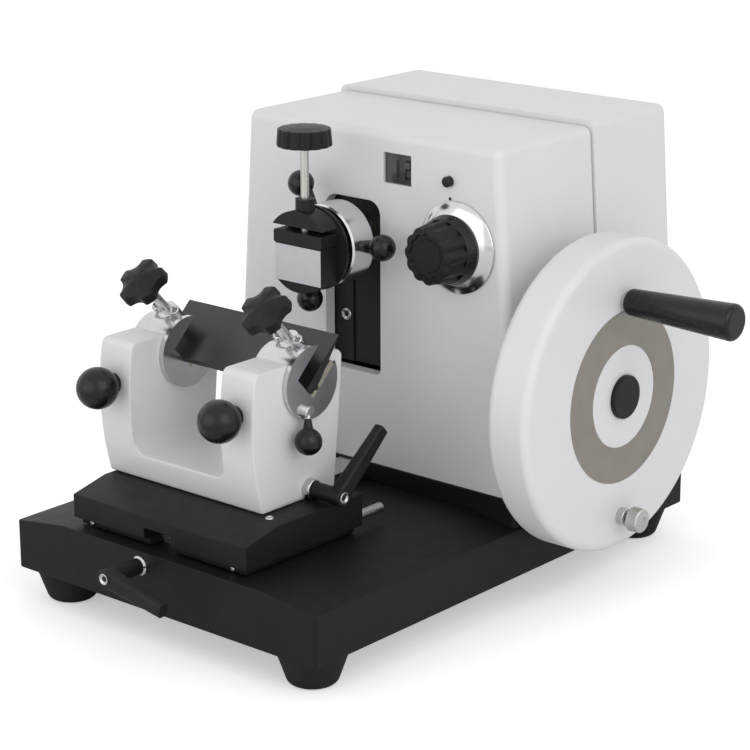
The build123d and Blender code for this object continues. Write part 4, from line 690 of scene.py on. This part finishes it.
# Studio: white background, soft light from the right and a weaker one from the front
studio = {"ambient": 0.66, "reach": 1.6,  # a lamp is its watts, its size in metres and where it stands
          "key": (6, 1.3, (0.85, -0.25, 0.5)), "fill": (5, 1.5, (-0.2, -1, 0.25))}
world = bpy.data.worlds.new("studio")
scene.world = world
world.use_nodes = True
air = Paint(world.node_tree)
seen = air.node("ShaderNodeLightPath", pick="Is Camera Ray")
gloss = air.node("ShaderNodeLightPath", pick="Is Glossy Ray")
clear = air.node("ShaderNodeLightPath", pick="Is Transmission Ray")
backdrop = air.node("ShaderNodeBackground", None, {"Color": (1, 1, 1, 1), "Strength": 1})
soft = air.node("ShaderNodeBackground", None, {"Color": (1, 1, 1, 1), "Strength": studio["ambient"]})
mixed = air.node("ShaderNodeMixShader", None, {0: seen + gloss + clear, 1: soft, 2: backdrop})
output = next(node for node in world.node_tree.nodes if node.type == "OUTPUT_WORLD")
world.node_tree.links.new(mixed.socket, output.inputs["Surface"])
low, high = cadBox
aim = Vector(((low[0] + high[0]) / 2, (low[1] + high[1]) / 2, (low[2] + high[2]) / 2))
for name in ("key", "fill"):
    power, size, way = studio[name]
    light = bpy.data.lights.new(name, "AREA")
    light.size = size
    light.energy = power
    lamp = show(name, light)
    toward = Vector(way).normalized()
    lamp.location = aim + toward * studio["reach"]
    lamp.rotation_euler = toward.to_track_quat("Z", "Y").to_euler()

# Floor: pale and plain, lifted to white where the camera sees it, its shadow kept
ground = {"half": 4, "patch": 300, "low": (0.9, 0.9, 0.9), "high": (0.92, 0.92, 0.92), "glow": 0.42}
matt = {"Roughness": 0.9, "Specular IOR Level": 0.1, "Emission Strength": ground["glow"]}
floor = Finish("floor", "", matt)
floor.colours(floor.noise(ground["patch"]), ground["low"], ground["high"])
floor.give("Emission Color", floor.node("ShaderNodeLightPath", pick="Is Camera Ray"))
bm = bmesh.new()
bmesh.ops.create_grid(bm, x_segments=2, y_segments=2, size=ground["half"])
floorMesh = bpy.data.meshes.new("floor")
bm.to_mesh(floorMesh)
bm.free()
floorMesh.materials.append(floor.material)
show("floor", floorMesh)

# Camera at the photograph's viewing angle, in metres, degrees and millimetres of lens
photo = {"eye": (0.88466, -1.06440, 0.55631), "azimuth": 40.773, "elevation": 16.823, "roll": -0.205,
         "lens": 117.36, "sensor": 36, "far": 20}
azimuth = math.radians(photo["azimuth"])
elevation = math.radians(photo["elevation"])
roll = math.radians(photo["roll"])
flat = math.cos(elevation)
back = Vector((math.sin(azimuth) * flat, -math.cos(azimuth) * flat, math.sin(elevation)))
level = Vector((math.cos(azimuth), math.sin(azimuth), 0))
upright = back.cross(level)
right = level * math.cos(roll) + upright * math.sin(roll)
up = upright * math.cos(roll) - level * math.sin(roll)
camera = bpy.data.cameras.new("camera")
camera.lens = photo["lens"]
camera.sensor_width = photo["sensor"]
camera.clip_end = photo["far"]
pose = Matrix((right, up, back)).transposed().to_4x4()
pose.translation = Vector(photo["eye"])
scene.camera = show("camera", camera)
scene.camera.matrix_world = pose
scene.view_settings.view_transform = "Standard"
print("studio made")
